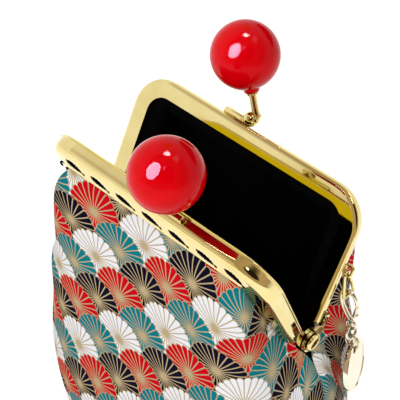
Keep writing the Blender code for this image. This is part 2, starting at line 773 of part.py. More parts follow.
# Charm: hangs from an eye on the back half's arm at world +X, which is local -X there.
# Its pieces stand along the hook's own Z, from the eye's lower wire down.

EYE_DEPTH = CLOSED_GAP + RIM_WIDTH + EYE_SET_BACK
EYE_ROOT = HALF_WIDTH - RIM_HEIGHT + SEAT_GAP + CHARM_WIRE_RADIUS
HANG = 2 * CHARM_WIRE_RADIUS + LINK_GAP


def rounded_corners(corners, radius, steps=3):
    points = []
    for k, corner in enumerate(corners):
        before = (corners[k - 1] - corner).normalized()
        after = (corners[(k + 1) % len(corners)] - corner).normalized()
        for step in range(steps + 1):
            share = step / steps
            rest = 1.0 - share
            points.append(corner + before * radius * rest ** 2 + after * radius * share ** 2)
    return points


def closed_wire(name, points, collection, parent, radius=CHARM_WIRE_RADIUS):
    wire = tube(name, points, radius, 2, closed=True)
    return add_object(name, wire, collection, parent, GOLD)


def eye_corners():
    tip = EYE_ROOT + EYE_REACH
    top = EYE_HEIGHT + EYE_LENGTH
    return [in_half(-EYE_ROOT, top, EYE_DEPTH), in_half(-tip, top, EYE_DEPTH),
            in_half(-tip, EYE_HEIGHT, EYE_DEPTH), in_half(-EYE_ROOT, EYE_HEIGHT, EYE_DEPTH)]


TRIANGLE_TOP = HANG
TRIANGLE_BASE = TRIANGLE_TOP - TRIANGLE_HEIGHT
CLASP_TOP = TRIANGLE_BASE + CHARM_WIRE_RADIUS + CLASP_WIRE_RADIUS + LINK_GAP
CLASP_BOTTOM = CLASP_TOP - CLASP_LENGTH
EYELET_MIDDLE = CLASP_BOTTOM - EYELET_RADIUS - CHARM_WIRE_RADIUS * 0.4
UPPER_RING_MIDDLE = EYELET_MIDDLE - EYELET_RADIUS + HANG - UPPER_RING_RADIUS
LOWER_RING_MIDDLE = UPPER_RING_MIDDLE - UPPER_RING_RADIUS + HANG - LOWER_RING_RADIUS
RING_BORE = LOWER_RING_RADIUS - CHARM_WIRE_RADIUS
TAG_RISE = RING_BORE - math.sqrt(RING_BORE ** 2 - (TAG_THICKNESS / 2) ** 2)
TAG_HOLE_TOP = LOWER_RING_MIDDLE - RING_BORE + TAG_RISE + LINK_GAP
TAG_MIDDLE = TAG_HOLE_TOP + TAG_BRIDGE - TAG_RADIUS
HOOK_REACH = EYE_ROOT + EYE_REACH * 0.55


def charm_tilt():
    """The angle that keeps the tag beside the full bag, whatever the bag's width."""
    hook = lean(HOOK_REACH, EYE_HEIGHT, EYE_DEPTH)
    return math.asin((side_reach(hook.z + TAG_MIDDLE) + CHARM_STANDOFF - HOOK_REACH) / -TAG_MIDDLE)


def teardrop(turn):
    """Middle line of the clasp in its own plane: turn 0 is its pointed lower end."""
    half = CLASP_LENGTH / 2
    up = CLASP_BOTTOM + half - half * math.cos(turn)
    across = CLASP_WIDTH * 0.6 * math.sin(turn) * abs(math.sin(turn / 2)) ** 0.8
    return Vector((across, 0.0, up))


def arc_points(start, end, steps):
    return [teardrop(math.radians(start + (end - start) * k / steps)) for k in range(steps + 1)]


def circle(radius, middle, flat_axis, steps=18):
    points = []
    for k in range(steps):
        turn = 2 * math.pi * k / steps
        a, b = radius * math.sin(turn), middle + radius * math.cos(turn)
        points.append(Vector((0.0, a, b)) if flat_axis == "X" else Vector((a, 0.0, b)))
    return points


def triangle_points():
    """A narrow triangle whose apex is bent round the eye's lower wire."""
    points = []
    for k in range(7):
        turn = math.radians(-72 + 144 * k / 6)
        points.append(Vector((0.0, TRIANGLE_TOP * math.sin(turn), TRIANGLE_TOP * math.cos(turn))))
    half = TRIANGLE_WIDTH / 2
    for side in (1.0, -1.0):
        corner = Vector((0.0, side * half, TRIANGLE_BASE))
        rounded = [corner + Vector((0.0, 0.0, WIRE_BEND)), corner + Vector((0.0, 0.0, WIRE_BEND * 0.3)),
                   corner - Vector((0.0, side * WIRE_BEND * 0.3, 0.0)),
                   corner - Vector((0.0, side * WIRE_BEND, 0.0))]
        points += rounded if side > 0 else rounded[::-1]
    return points


def build_charm(back_hinge, parts):
    closed_wire("charm_eye", rounded_corners(eye_corners(), WIRE_BEND), parts, back_hinge)
    hook = bpy.data.objects.new("charm_hook", None)
    parts.objects.link(hook)
    under = in_half(-HOOK_REACH, EYE_HEIGHT, EYE_DEPTH)
    tilt = Matrix.Rotation(-charm_tilt(), 4, "Y")
    hook.matrix_world = Matrix.Translation(back_hinge.matrix_world @ under) @ tilt
    closed_wire("charm_triangle", triangle_points(), parts, hook)
    build_clasp(hook, parts)
    upper = circle(UPPER_RING_RADIUS, UPPER_RING_MIDDLE, "X")
    closed_wire("charm_upper_ring", upper, parts, hook)
    lower = circle(LOWER_RING_RADIUS, LOWER_RING_MIDDLE, "Y")
    closed_wire("charm_lower_ring", lower, parts, hook)
    build_tag(hook, parts)


def build_clasp(hook, parts):
    """A teardrop hook with an eyelet below, and a spring gate that closes its side."""
    body = tube("charm_clasp", arc_points(*CLASP_BACK, 18), CLASP_WIRE_RADIUS, 2)
    clasp = add_object("charm_clasp", body, parts, hook, PALE_GOLD)
    ring = circle(EYELET_RADIUS, EYELET_MIDDLE, "Y", 14)
    eyelet = tube("clasp_eyelet", ring, CHARM_WIRE_RADIUS, 2, closed=True)
    boolean(clasp, add_cutter("clasp_eyelet", eyelet, hook), "UNION")
    line = arc_points(*CLASP_GATE, 6)
    gate = tube("charm_clasp_gate", [point - line[0] for point in line], GATE_WIRE_RADIUS, 2)
    lever = add_object("charm_clasp_gate", gate, parts, hook, PALE_GOLD)
    lever.location = line[0]


def build_tag(hook, parts):
    """A plain round tag with a raised rim, hung by a hole near its edge."""
    half = TAG_THICKNESS / 2
    inner = TAG_RADIUS - TAG_RIM
    profile = [
        (0.0, half - 0.2 * MM), (inner - 0.2 * MM, half - 0.2 * MM), (inner, half),
        (TAG_RADIUS - 0.25 * MM, half), (TAG_RADIUS, half - 0.25 * MM),
        (TAG_RADIUS, 0.25 * MM - half), (TAG_RADIUS - 0.25 * MM, -half), (inner, -half),
        (inner - 0.2 * MM, 0.2 * MM - half), (0.0, 0.2 * MM - half)]
    tag = turned("charm_tag", profile, parts, 36, hook, PALE_GOLD)
    tag.location = (0.0, 0.0, TAG_MIDDLE)
    tag.rotation_euler = Matrix.Rotation(TAG_TWIST, 3, "Z").to_euler()
    tag.rotation_euler.rotate_axis("Y", math.pi / 2)
    hole = cylinders("tag_hole", [Matrix.Rotation(math.pi / 2, 4, "Y")], TAG_HOLE_RADIUS,
                     TAG_THICKNESS * 3, 16)
    cutter = add_cutter("tag_hole", hole, hook)
    cutter.location = (0.0, 0.0, TAG_HOLE_TOP - TAG_HOLE_RADIUS)
    cutter.rotation_euler = (0.0, 0.0, TAG_TWIST)
    boolean(tag, cutter, "DIFFERENCE")


def add_hinge(name, half_turn, parts):
    hinge = bpy.data.objects.new(name, None)
    parts.objects.link(hinge)
    sign = -1.0 if half_turn else 1.0
    turn = Matrix.Rotation(math.pi if half_turn else 0.0, 4, "Z")
    lean_open = Matrix.Rotation(sign * HALF_OPENING, 4, "X")
    hinge.matrix_world = Matrix.Translation((0.0, 0.0, HINGE_HEIGHT)) @ lean_open @ turn
    return hinge


def stand_over_origin(parts):
    """Shift all of it sideways, so that the origin lies under the middle of its length."""
    view = bpy.context.evaluated_depsgraph_get()
    reach = []
    for thing in parts.objects:
        if thing.type == "MESH":
            solid = thing.evaluated_get(view)
            reach += [(solid.matrix_world @ corner.co).x for corner in solid.data.vertices]
    middle = (min(reach) + max(reach)) / 2.0
    for thing in bpy.data.objects:
        if thing.parent is None:
            thing.location.x -= middle


def main():
    clear_scene()
    parts = make_collection("clasp_purse")
    make_collection("cutters")
    front_hinge = add_hinge("front_hinge", False, parts)
    back_hinge = add_hinge("back_hinge", True, parts)
    build_half("front", front_hinge, parts)
    build_half("back", back_hinge, parts)
    build_rivet("right", 1.0, front_hinge, parts)
    build_rivet("left", -1.0, front_hinge, parts)
    build_cloth(parts)
    build_charm(back_hinge, parts)
    stand_over_origin(parts)


main()
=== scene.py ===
# %% [markdown]
# # A clasp purse, dressed around its CAD frame
# This lesson rebuilds every visible surface of a small clasp purse that stands open: the
# pressed gold frame, its two red ball clasps, the sewing, the printed cloth, the dark lining
# and the charm. The imported CAD part is loaded first. It stays where it is, and each new piece
# but the cloth and the lining rides on one of its bodies, so it moves as the purse opens and shuts.

# %% Load the frame
import json
import math

import bmesh
import bpy
from mathutils import Matrix, Vector


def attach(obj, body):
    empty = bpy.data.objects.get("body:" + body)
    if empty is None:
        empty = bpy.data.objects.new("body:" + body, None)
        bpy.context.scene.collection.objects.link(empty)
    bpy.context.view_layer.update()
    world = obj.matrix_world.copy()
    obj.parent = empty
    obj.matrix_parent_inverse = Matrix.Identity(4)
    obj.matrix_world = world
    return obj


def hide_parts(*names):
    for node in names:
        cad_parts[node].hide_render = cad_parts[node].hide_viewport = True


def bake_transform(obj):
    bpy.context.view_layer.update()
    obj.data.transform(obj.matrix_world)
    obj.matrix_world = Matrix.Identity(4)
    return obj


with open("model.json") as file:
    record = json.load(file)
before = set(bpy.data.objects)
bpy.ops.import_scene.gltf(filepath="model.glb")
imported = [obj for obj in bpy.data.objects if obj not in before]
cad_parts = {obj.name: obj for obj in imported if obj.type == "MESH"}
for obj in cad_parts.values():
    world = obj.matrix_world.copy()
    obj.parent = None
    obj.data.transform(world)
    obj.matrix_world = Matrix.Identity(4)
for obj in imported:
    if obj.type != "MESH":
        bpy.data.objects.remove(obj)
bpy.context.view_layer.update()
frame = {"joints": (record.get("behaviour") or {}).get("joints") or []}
MM = 0.001

# %% [markdown]
# ## Sizes
# The sizes repeat those of the CAD source, in metres, but for the inner flange, which a close
# look at the photo makes 5.6 mm wide instead of 4.2. A half of the frame is worked upright, as
# it would lie shut: x runs along the purse, h up the arms from the hinge line, and d outwards
# from the plane where the two halves meet. Two matrices then lean each half to where it stands.
# The purse's own middle lies a little beside the origin, because the charm counts in the length.

# %% Sizes and the two leaning halves
HINGE_HEIGHT = 98.0 * MM
HALF_WIDTH = 42.0 * MM
FRAME_HEIGHT = 44.0 * MM
CORNER_RADIUS = 11.5 * MM
STRAIGHT_HALF = HALF_WIDTH - CORNER_RADIUS
ARM_TOP = FRAME_HEIGHT - CORNER_RADIUS
ARM_END = 5.6 * MM
SHEET = 0.8 * MM
CLOSED_GAP = 0.25 * MM
OUTER_FACE = CLOSED_GAP + 5.4 * MM
OUTER_FLANGE = 7.2 * MM
OUTER_FLANGE_AT_HINGE = 3.4 * MM
INNER_FLANGE = 5.6 * MM
RIM_HEIGHT = 0.5 * MM
RIM_WIDTH = 0.9 * MM
SHOULDER_RADIUS = 2.8 * MM
FLANGE_SLOPE = 0.28
OPENING = math.radians(25.0)

MIDDLE = Matrix.Translation((frame["joints"][0]["pos_m"][0], 0, 0))
HALF_TURN = Matrix.Rotation(math.pi, 4, "Z")
LEAN = Matrix.Translation((0, 0, HINGE_HEIGHT)) @ Matrix.Rotation(OPENING, 4, "X")
LEAN_FRONT = MIDDLE @ LEAN
LEAN_BACK = MIDDLE @ HALF_TURN @ LEAN
SIDES = (("front", LEAN_FRONT, "front_half"), ("back", LEAN_BACK, "back_half"))


def in_half(x, h, d):
    """A point of an upright half, whose outer side faces -Y."""
    return Vector((x, -d, h))


# %% [markdown]
# ## Working by hand in code
# Blender's operators act on whatever is selected, so every new piece starts with nothing
# selected. Faces and points are then picked by where they are.

# %% Helpers for picking
def deselect():
    if bpy.context.object and bpy.context.object.mode != "OBJECT":
        bpy.ops.object.mode_set(mode="OBJECT")
    bpy.ops.object.select_all(action="DESELECT")


def pick(thing):
    deselect()
    thing.select_set(True)
    bpy.context.view_layer.objects.active = thing


def named(name):
    """The object that an operator has just added."""
    thing = bpy.context.object
    thing.name = name
    thing.data.name = name
    return thing


def select_where(kind, wanted):
    """In edit mode, select only the verts, edges or faces that `wanted` says yes to."""
    mesh = bmesh.from_edit_mesh(bpy.context.object.data)
    for group in (mesh.verts, mesh.edges, mesh.faces):
        for item in group:
            item.select_set(False)
    mesh.select_mode = {kind[:-1].upper()}
    for item in getattr(mesh, kind):
        if wanted(item):
            item.select_set(True)
    mesh.select_flush_mode()
    bmesh.update_edit_mesh(bpy.context.object.data)


# %% [markdown]
# A bent wire, a stem and a strand of thread are all made the same way: a curve runs through
# points, takes a round section and is then turned into a mesh. `finish` closes the work on any
# piece. It applies the modifiers in the order they stand, moves the mesh to its place and
# leaves the object at the origin, which is how the CAD nodes are kept too.

# %% Helpers for modifiers, wires and placing
MERGE_DISTANCE = 0.002 * MM


def add_modifier(thing, kind, **settings):
    modifier = thing.modifiers.new(kind.lower(), kind)
    for key, value in settings.items():
        setattr(modifier, key, value)


def apply_all(thing):
    pick(thing)
    for modifier in list(thing.modifiers):
        bpy.ops.object.modifier_apply(modifier=modifier.name)


def combine(thing, other, operation="UNION"):
    """Join or cut with another solid, which is used up."""
    add_modifier(thing, "BOOLEAN", operation=operation, object=other, solver="EXACT")
    apply_all(thing)
    bpy.data.objects.remove(other, do_unlink=True)


def set_place(thing, matrix=Matrix.Identity(4)):
    """Put the mesh where the matrix says and leave the object at the origin."""
    thing.data.transform(matrix @ thing.matrix_basis)
    thing.matrix_basis = Matrix.Identity(4)


def bent_wire(name, points, radius, closed=False, sizes=None, roundness=6):
    """A round wire along points, as a mesh; sizes thicken or thin it from point to point."""
    curve = bpy.data.curves.new(name, "CURVE")
    curve.dimensions = "3D"
    curve.bevel_depth = radius
    curve.bevel_resolution = roundness
    curve.use_fill_caps = not closed
    spline = curve.splines.new("POLY")
    spline.points.add(len(points) - 1)
    for point, place, size in zip(spline.points, points, sizes or [1.0] * len(points)):
        point.co = (*place, 1.0)
        point.radius = size
    spline.use_cyclic_u = closed
    holder = bpy.data.objects.new(name, curve)
    bpy.context.scene.collection.objects.link(holder)
    pick(holder)
    bpy.ops.object.convert(target="MESH")
    return named(name)


def finish(thing, body, node, material, matrix, degrees):
    """Apply, place, smooth up to an angle, paint and hang a finished piece on its body."""
    apply_all(thing)
    set_place(thing, matrix)
    mesh = bmesh.new()
    mesh.from_mesh(thing.data)
    bmesh.ops.remove_doubles(mesh, verts=mesh.verts[:], dist=MERGE_DISTANCE)
    bmesh.ops.recalc_face_normals(mesh, faces=mesh.faces[:])
    mesh.to_mesh(thing.data)
    mesh.free()
    pick(thing)
    bpy.ops.object.shade_smooth_by_angle(angle=math.radians(degrees))
    thing.data.materials.clear()
    thing.data.materials.append(material)
    if body:
        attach(thing, body)
    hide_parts(node)
    print(thing.name, "has", len(thing.data.polygons), "faces")


# %% [markdown]
# ## Shader maths
# A material is a sum of small calculations. Wrapping a socket in a class lets them be written
# as arithmetic: `1 - mask` adds a Math node by itself. Any other node comes from `Paint.node`,
# which takes the node's type, its settings, and the values or wires of its sockets.

# %% Wires and paints
class Wire:
    """A value in a material that can be added, scaled and divided like a number."""

    def __init__(self, paint, socket):
        self.paint = paint
        self.socket = socket

    def do(self, operation, *others):
        values = dict(enumerate((self,) + others))
        return self.paint.node("ShaderNodeMath", {"operation": operation}, values)

    def __add__(self, other):
        return self.do("ADD", other)

    def __radd__(self, other):
        return self.do("ADD", other)

    def __sub__(self, other):
        return self.do("SUBTRACT", other)

    def __rsub__(self, other):
        return self.paint.node("ShaderNodeMath", {"operation": "SUBTRACT"}, {0: other, 1: self})

    def __mul__(self, other):
        return self.do("MULTIPLY", other)

    def __rmul__(self, other):
        return self.do("MULTIPLY", other)

    def __truediv__(self, other):
        return self.do("DIVIDE", other)

    def __mod__(self, other):
        return self.do("FLOORED_MODULO", other)

    def step(self, start, end):
        """0 below start and 1 above end, eased between them."""
        values = {"Value": self, "From Min": start, "From Max": end}
        settings = {"interpolation_type": "SMOOTHSTEP", "clamp": True}
        return self.paint.node("ShaderNodeMapRange", settings, values)


class Paint:
    """A material under construction, with its Principled shader."""

    def __init__(self, name, **constants):
        self.material = bpy.data.materials.new(name)
        self.material.use_nodes = True
        self.tree = self.material.node_tree
        self.shader = self.tree.nodes["Principled BSDF"]
        for key, value in constants.items():
            self.shader.inputs[key.replace("_", " ")].default_value = value

    def node(self, kind, settings=None, sockets=None, output=0):
        made = self.tree.nodes.new(kind)
        for key, value in (settings or {}).items():
            if key == "stops":
                self.set_stops(made.color_ramp, value)
            else:
                setattr(made, key, value)
        for key, value in (sockets or {}).items():
            if isinstance(value, Wire):
                self.tree.links.new(value.socket, made.inputs[key])
            else:
                made.inputs[key].default_value = value
        return Wire(self, made.outputs[output])

    def set_stops(self, ramp, stops):
        while len(ramp.elements) < len(stops):
            ramp.elements.new(0.5)
        for element, (place, colour) in zip(ramp.elements, stops):
            element.position = place
            element.color = colour

    def mix(self, factor, first, second):
        """A colour between two others. A Mix node's colour sockets are 6 and 7, and 2 outside."""
        sockets = {0: factor, 6: first, 7: second}
        return self.node("ShaderNodeMix", {"data_type": "RGBA"}, sockets, 2)

    def place(self, kind="Object"):
        return self.node("ShaderNodeTexCoord", output=kind)

    def ray(self, kind):
        return self.node("ShaderNodeLightPath", output=kind)

    def parts(self, vector, axes):
        """The wires of a vector's X, Y or Z."""
        split = self.node("ShaderNodeSeparateXYZ", sockets={"Vector": vector}).socket.node
        return [Wire(self, split.outputs[axis]) for axis in axes]

    def noise(self, scale, detail, squash=(1.0, 1.0, 1.0)):
        moved = self.node("ShaderNodeMapping", {}, {"Vector": self.place(), "Scale": squash})
        sockets = {"Vector": moved, "Scale": scale, "Detail": detail}
        return self.node("ShaderNodeTexNoise", {}, sockets)

    def feed(self, **wires):
        for key, wire in wires.items():
            self.tree.links.new(wire.socket, self.shader.inputs[key.replace("_", " ")])

    def bump(self, height, strength, distance):
        self.feed(Normal=self.node("ShaderNodeBump", {}, {
            "Height": height, "Strength": strength, "Distance": distance}))


def rgba(red, green, blue):
    """A linear colour from three 0-255 screen values."""
    def straight(value):
        value = value / 255.0
        return value / 12.92 if value <= 0.04045 else ((value + 0.055) / 1.055) ** 2.4
    return (straight(red), straight(green), straight(blue), 1.0)


# %% [markdown]
# ## Gold plate
# Polished plate is nearly a mirror, so what it reflects matters more than its own colour. Long
# faint streaks from polishing and a few duller patches keep it from looking like liquid. The
# frame's gold is warmer than the charm's. One function makes both, from the colour and a
# deeper one for the patches, and from how dull the plate is.

# %% Gold finishes
def gold_plate(name, colour, deep, dullness):
    paint = Paint(name, Metallic=1.0)
    patches = paint.noise(90.0, 3.0)
    streaks = paint.noise(500.0, 2.0, squash=(0.15, 1.0, 1.0))
    tint = patches.step(0.35, 0.75)
    paint.feed(Base_Color=paint.mix(tint, colour, deep))
    paint.feed(Roughness=dullness + patches * 0.02 + streaks * 0.015)
    paint.bump(streaks, 0.05, 0.02 * MM)
    return paint.material


GOLD = gold_plate("polished_gold", (0.65, 0.54, 0.25, 1.0), (0.60, 0.49, 0.20, 1.0), 0.02)
PALE_GOLD = gold_plate("pale_gold", (0.68, 0.62, 0.49, 1.0), (0.62, 0.55, 0.40, 1.0), 0.10)
print("gold finishes:", GOLD.name, "and", PALE_GOLD.name)

# %% [markdown]
# ## Red lacquer
# The balls are moulded and lacquered: a deep red under a clear coat. The coat is the mirror, and
# a very faint ripple in it bends the lamps' edges as on the real thing.

# %% Red lacquer
BRIGHT_RED = (0.66, 0.0, 0.004, 1.0)
DEEP_RED = (0.58, 0.0, 0.003, 1.0)
lacquer = Paint("red_lacquer", Roughness=0.5, Specular_IOR_Level=0.0,
                Coat_Roughness=0.015, Coat_IOR=1.16)
depth = lacquer.noise(60.0, 2.0)
lacquer.feed(Base_Color=lacquer.mix(depth.step(0.3, 0.8), BRIGHT_RED, DEEP_RED))
lacquer.feed(Coat_Weight=0.97 + depth * 0.05)
lacquer.bump(lacquer.noise(35.0, 0.0), 0.05, 0.1 * MM)
RED = lacquer.material
print("ball finish:", RED.name)

# %% [markdown]
# ## Sewing thread and lining
# The thread is dark blue cotton, and a fine noise stands for its short fibres. The lining is a
# plain black weave, so fine that it reads as matt black with a faint grain. A weave follows the
# cloth, so it is drawn on the sheet's own map, of which one unit is 100 mm.

# %% Thread and lining
MAP_UNIT = 100.0
LINING_PITCH = 0.5 * MM
thread_paint = Paint("navy_thread", Roughness=0.85, Specular_IOR_Level=0.03)
fibres = thread_paint.noise(2500.0, 2.0)
thread_paint.feed(Base_Color=thread_paint.mix(fibres, rgba(1, 2, 12), rgba(16, 18, 40)))
thread_paint.bump(fibres, 0.5, 0.1 * MM)
THREAD = thread_paint.material


def weave(paint, pitch):
    """A height that rises and falls over the threads of a plain weave, 0 to 1."""
    across, down = paint.parts(paint.place("UV"), "XY")
    turn = math.pi * MAP_UNIT * MM / pitch
    warp = (across * turn).do("SINE").do("ABSOLUTE")
    weft = (down * turn).do("SINE").do("ABSOLUTE")
    return warp.do("MAXIMUM", weft)


lining_paint = Paint("black_lining", Roughness=0.9, Specular_IOR_Level=0.04)
cloudy = lining_paint.noise(140.0, 3.0)
lining_paint.feed(Base_Color=lining_paint.mix(cloudy, rgba(2, 2, 3), rgba(9, 8, 10)))
lining_paint.bump(weave(lining_paint, LINING_PITCH), 0.25, 0.1 * MM)
LINING = lining_paint.material
print("soft finishes:", THREAD.name, "and", LINING.name)

# %% [markdown]
# ## The print
# Round many-petalled flowers overlap like fish scales. They stand in columns 9 mm apart, half
# a step up or down from one column to the next, and each lower flower covers the one above.
# The shader finds, for any point, the nearest flower of three rows and paints the lowest row
# that covers the point. Four colours follow each other down a column. The outline and
# hub of each flower are a dull gold. The cloth's own map is used, so the print follows it.
# The sizes are in mm: how far the petals reach, how much their sides fall back from the tip,
# half the width of the gold line between two petals and how it grows outwards, and how far the
# line at the tip reaches in and out. The flowers wander by a quarter of a mm to either side.

# %% Sizes and colours of a flower
COLUMN = 9.05
ROW = 8.55
PETAL_REACH = 9.25
PETALS = 24.0
TIP_FALL = 0.95
HUB_RADIUS = 1.1
SIDE_LINE = 0.14
SIDE_LINE_GROWTH = 0.006
TIP_LINE = 0.18
TIP_HEM = 0.12
SOFT_EDGE = 0.03
PRINT_PITCH = 0.42 * MM
WHITE = rgba(251, 251, 255)
INK = rgba(6, 6, 34)
TEAL = rgba(0, 128, 140)
CRIMSON = rgba(214, 0, 26)
OUTLINE = rgba(200, 178, 136)


# %% Flowers
def flower(across, down, row):
    """For the row's flower nearest to the point: its mask, its dyed part and its colour's order."""
    odd = row % 2.0
    column = ((across / COLUMN - odd) / 2.0).do("ROUND") * 2.0 + odd
    x = across - column * COLUMN
    y = down - row * ROW
    far = (x * x + y * y).do("SQRT")
    turn = x.do("ARCTAN2", y * -1.0)
    petal = turn * (PETALS / (2.0 * math.pi)) + 0.5
    off = (petal % 1.0 - 0.5).do("ABSOLUTE") * 2.0
    round_tip = PETAL_REACH - off * off * off * TIP_FALL
    covers = (round_tip + TIP_HEM - far).step(-SOFT_EDGE, SOFT_EDGE)
    half_width = (1.0 - off) * far * (math.pi / PETALS)
    from_side = half_width - SIDE_LINE - far * SIDE_LINE_GROWTH
    from_tip = round_tip - TIP_LINE - far
    from_hub = far - HUB_RADIUS
    inside = from_side.do("MINIMUM", from_tip).do("MINIMUM", from_hub * 0.25)
    dyed = inside.step(-SOFT_EDGE, 2.0 * SOFT_EDGE)
    order = ((column + row) / 2.0 + odd * 2.0) % 4.0
    return covers, dyed, order


def petal_colour(paint, order):
    """White, ink, teal and crimson for the orders 0 to 3."""
    colour = paint.mix(order.step(0.4, 0.6), WHITE, INK)
    colour = paint.mix(order.step(1.4, 1.6), colour, TEAL)
    return paint.mix(order.step(2.4, 2.6), colour, CRIMSON)


# %% The cloth's colour
WANDER = 0.5
print_paint = Paint("flower_print", Roughness=0.85, Specular_IOR_Level=0.02)
across, down = (part * MAP_UNIT for part in print_paint.parts(print_paint.place("UV"), "XY"))
across = across + print_paint.noise(45.0, 1.0) * WANDER - WANDER / 2
first_row = (down / ROW).do("FLOOR")
colour = OUTLINE
for rows_down in (0.0, 1.0, 2.0):
    covers, dyed, order = flower(across, down, first_row + rows_down)
    bloom = print_paint.mix(dyed, OUTLINE, petal_colour(print_paint, order))
    colour = print_paint.mix(covers, colour, bloom)
threads = weave(print_paint, PRINT_PITCH)
lint = print_paint.noise(900.0, 3.0)
shade = print_paint.mix(threads * 0.04 + lint * 0.03, colour, rgba(90, 80, 72))
print_paint.feed(Base_Color=shade)
print_paint.bump(threads * 0.7 + lint * 0.5, 0.35, 0.12 * MM)
PRINT = print_paint.material
print("the print is worked out by", len(PRINT.node_tree.nodes), "nodes")

# %% [markdown]
# ## The frame's two halves
# The real frame is pressed from sheet into a channel. Its section is drawn once as a closed
# loop, stood at the foot of one arm, and swept: extruded up the arm, spun round the corner,
# extruded along the bar, and so down the other arm. The flange is then narrowed
# towards the hinge by moving its edge, as the press does. The rim stands a little proud of
# the shoulder, and two short rows of points, in mm, round its step and its lip.

# %% The channel's section
SHOULDER_TURNS = [0, 11, 22, 34, 45, 56, 68, 79, 90]
PRESSED_EDGE = 0.18 * MM
LIP_RADIUS = 1.5 * MM
LIP_DEPTH = RIM_WIDTH - 0.16 * MM
RIM_STEP = ((0.0, 0.25), (-0.08, 0.1), (-0.25, 0.0))
RIM_LIP = ((0.2, -0.02), (0.06, -0.08))


def around(middle, radius, degrees):
    turn = math.radians(degrees)
    return (middle[0] - radius * math.sin(turn), middle[1] + radius * math.cos(turn))


def flange_rise(inset):
    """How far the outer flange flares outwards at an inset past the shoulder."""
    return FLANGE_SLOPE * max(0.0, inset - RIM_HEIGHT - SHOULDER_RADIUS)


def channel_section():
    """The U of the channel as (inset, d), from the outer flange's edge round to its inside."""
    face = CLOSED_GAP
    middle = (RIM_HEIGHT + SHOULDER_RADIUS, OUTER_FACE - SHOULDER_RADIUS)
    edge = PRESSED_EDGE
    face_at_edge = OUTER_FACE + flange_rise(OUTER_FLANGE)
    points = [(OUTER_FLANGE, face_at_edge - edge), (OUTER_FLANGE - edge, face_at_edge)]
    points += [around(middle, SHOULDER_RADIUS, turn) for turn in SHOULDER_TURNS]
    points += [(RIM_HEIGHT + inset * MM, face + RIM_WIDTH + d * MM) for inset, d in RIM_STEP]
    points += [(inset * MM, face + RIM_WIDTH + d * MM) for inset, d in RIM_LIP]
    for turn in range(0, 91, 15):
        angle = math.radians(turn)
        points.append((LIP_RADIUS * (1.0 - math.cos(angle)),
                       face + LIP_DEPTH * (1.0 - math.sin(angle))))
    points += [
        (INNER_FLANGE - edge, face),
        (INNER_FLANGE, face + edge),
        (INNER_FLANGE, face + SHEET - edge),
        (INNER_FLANGE - edge, face + SHEET),
        (RIM_HEIGHT + SHEET, face + SHEET),
    ]
    points += [around(middle, SHOULDER_RADIUS - SHEET, turn) for turn in SHOULDER_TURNS[::-2]]
    inside_at_edge = face_at_edge - SHEET
    points += [(OUTER_FLANGE - edge, inside_at_edge), (OUTER_FLANGE, inside_at_edge + edge)]
    return points


print("the channel's section has", len(channel_section()), "points")


# %% Sweeping the section
ARM_STEPS = 6
CORNER_STEPS = 20
BAR_STEPS = 8


def flange_width(h):
    """The outer flange is full along the bar and narrows down the arms to the hinge."""
    share = min(1.0, max(0.0, (h - ARM_END) / (ARM_TOP - ARM_END)))
    return OUTER_FLANGE_AT_HINGE + (OUTER_FLANGE - OUTER_FLANGE_AT_HINGE) * share


def extrude(x, z, steps):
    for _ in range(steps):
        bpy.ops.mesh.extrude_region_move(
            TRANSFORM_OT_translate={"value": (x / steps, 0.0, z / steps)})


def sweep_channel(name):
    deselect()
    section = channel_section()
    bpy.ops.mesh.primitive_circle_add(vertices=len(section), fill_type="NGON")
    channel = named(name)
    for point, (inset, d) in zip(channel.data.vertices, section):
        point.co = in_half(HALF_WIDTH - inset, ARM_END, d)
    bpy.ops.object.mode_set(mode="EDIT")
    bpy.ops.mesh.select_all(action="SELECT")
    extrude(0.0, ARM_TOP - ARM_END, ARM_STEPS)
    for side in (1.0, -1.0):
        bpy.ops.mesh.spin(steps=CORNER_STEPS, angle=math.pi / 2, axis=(0.0, 1.0, 0.0),
                          center=(side * STRAIGHT_HALF, 0.0, ARM_TOP))
        if side > 0.0:
            extrude(-2.0 * STRAIGHT_HALF, 0.0, BAR_STEPS)
    extrude(0.0, ARM_END - ARM_TOP, ARM_STEPS)
    bpy.ops.object.mode_set(mode="OBJECT")
    narrow_flange(channel)
    return channel


def narrow_flange(channel):
    start = RIM_HEIGHT + SHOULDER_RADIUS
    for point in channel.data.vertices:
        inset = HALF_WIDTH - abs(point.co.x)
        on_outer = -point.co.y > OUTER_FACE - SHEET * 1.2
        if on_outer and inset > start and point.co.z < ARM_TOP:
            share = (flange_width(point.co.z) - start) / (OUTER_FLANGE - start)
            moved = start + (inset - start) * share
            point.co.x = math.copysign(HALF_WIDTH - moved, point.co.x)
            point.co.y += flange_rise(inset) - flange_rise(moved)


# %% [markdown]
# Each half ends in two flat ears that share the hinge's rivet. One ear stands just inside the
# arm and the other is stepped outwards by a little more than its thickness, so that the halves
# nest: the same pressing turned round fits on itself. An ear is a disc with a neck, joined to the
# channel with a Boolean. The neck has a waist, so that the halves pass each other when shut.

# %% Ears and holes
EAR_RADIUS = 3.4 * MM
EAR_SHEET = 0.9 * MM
EAR_GAP = 0.3 * MM
INNER_EAR = (HALF_WIDTH - RIM_HEIGHT - SHEET - 0.05 * MM, EAR_SHEET)
OUTER_EAR = (INNER_EAR[0] + EAR_SHEET + EAR_GAP, EAR_SHEET)
RIVET_RADIUS = 1.2 * MM
NECK_FOOT = 0.4 * MM
NECK_FOOT_HALF_WIDTH = EAR_RADIUS * 0.97
NECK_WAIST = ARM_END - 0.8 * MM
NECK_NEAR = CLOSED_GAP + RIM_WIDTH + 0.2 * MM
NECK_WIDTH = 2.6 * MM
NECK_TOP = ARM_END + 2.6 * MM


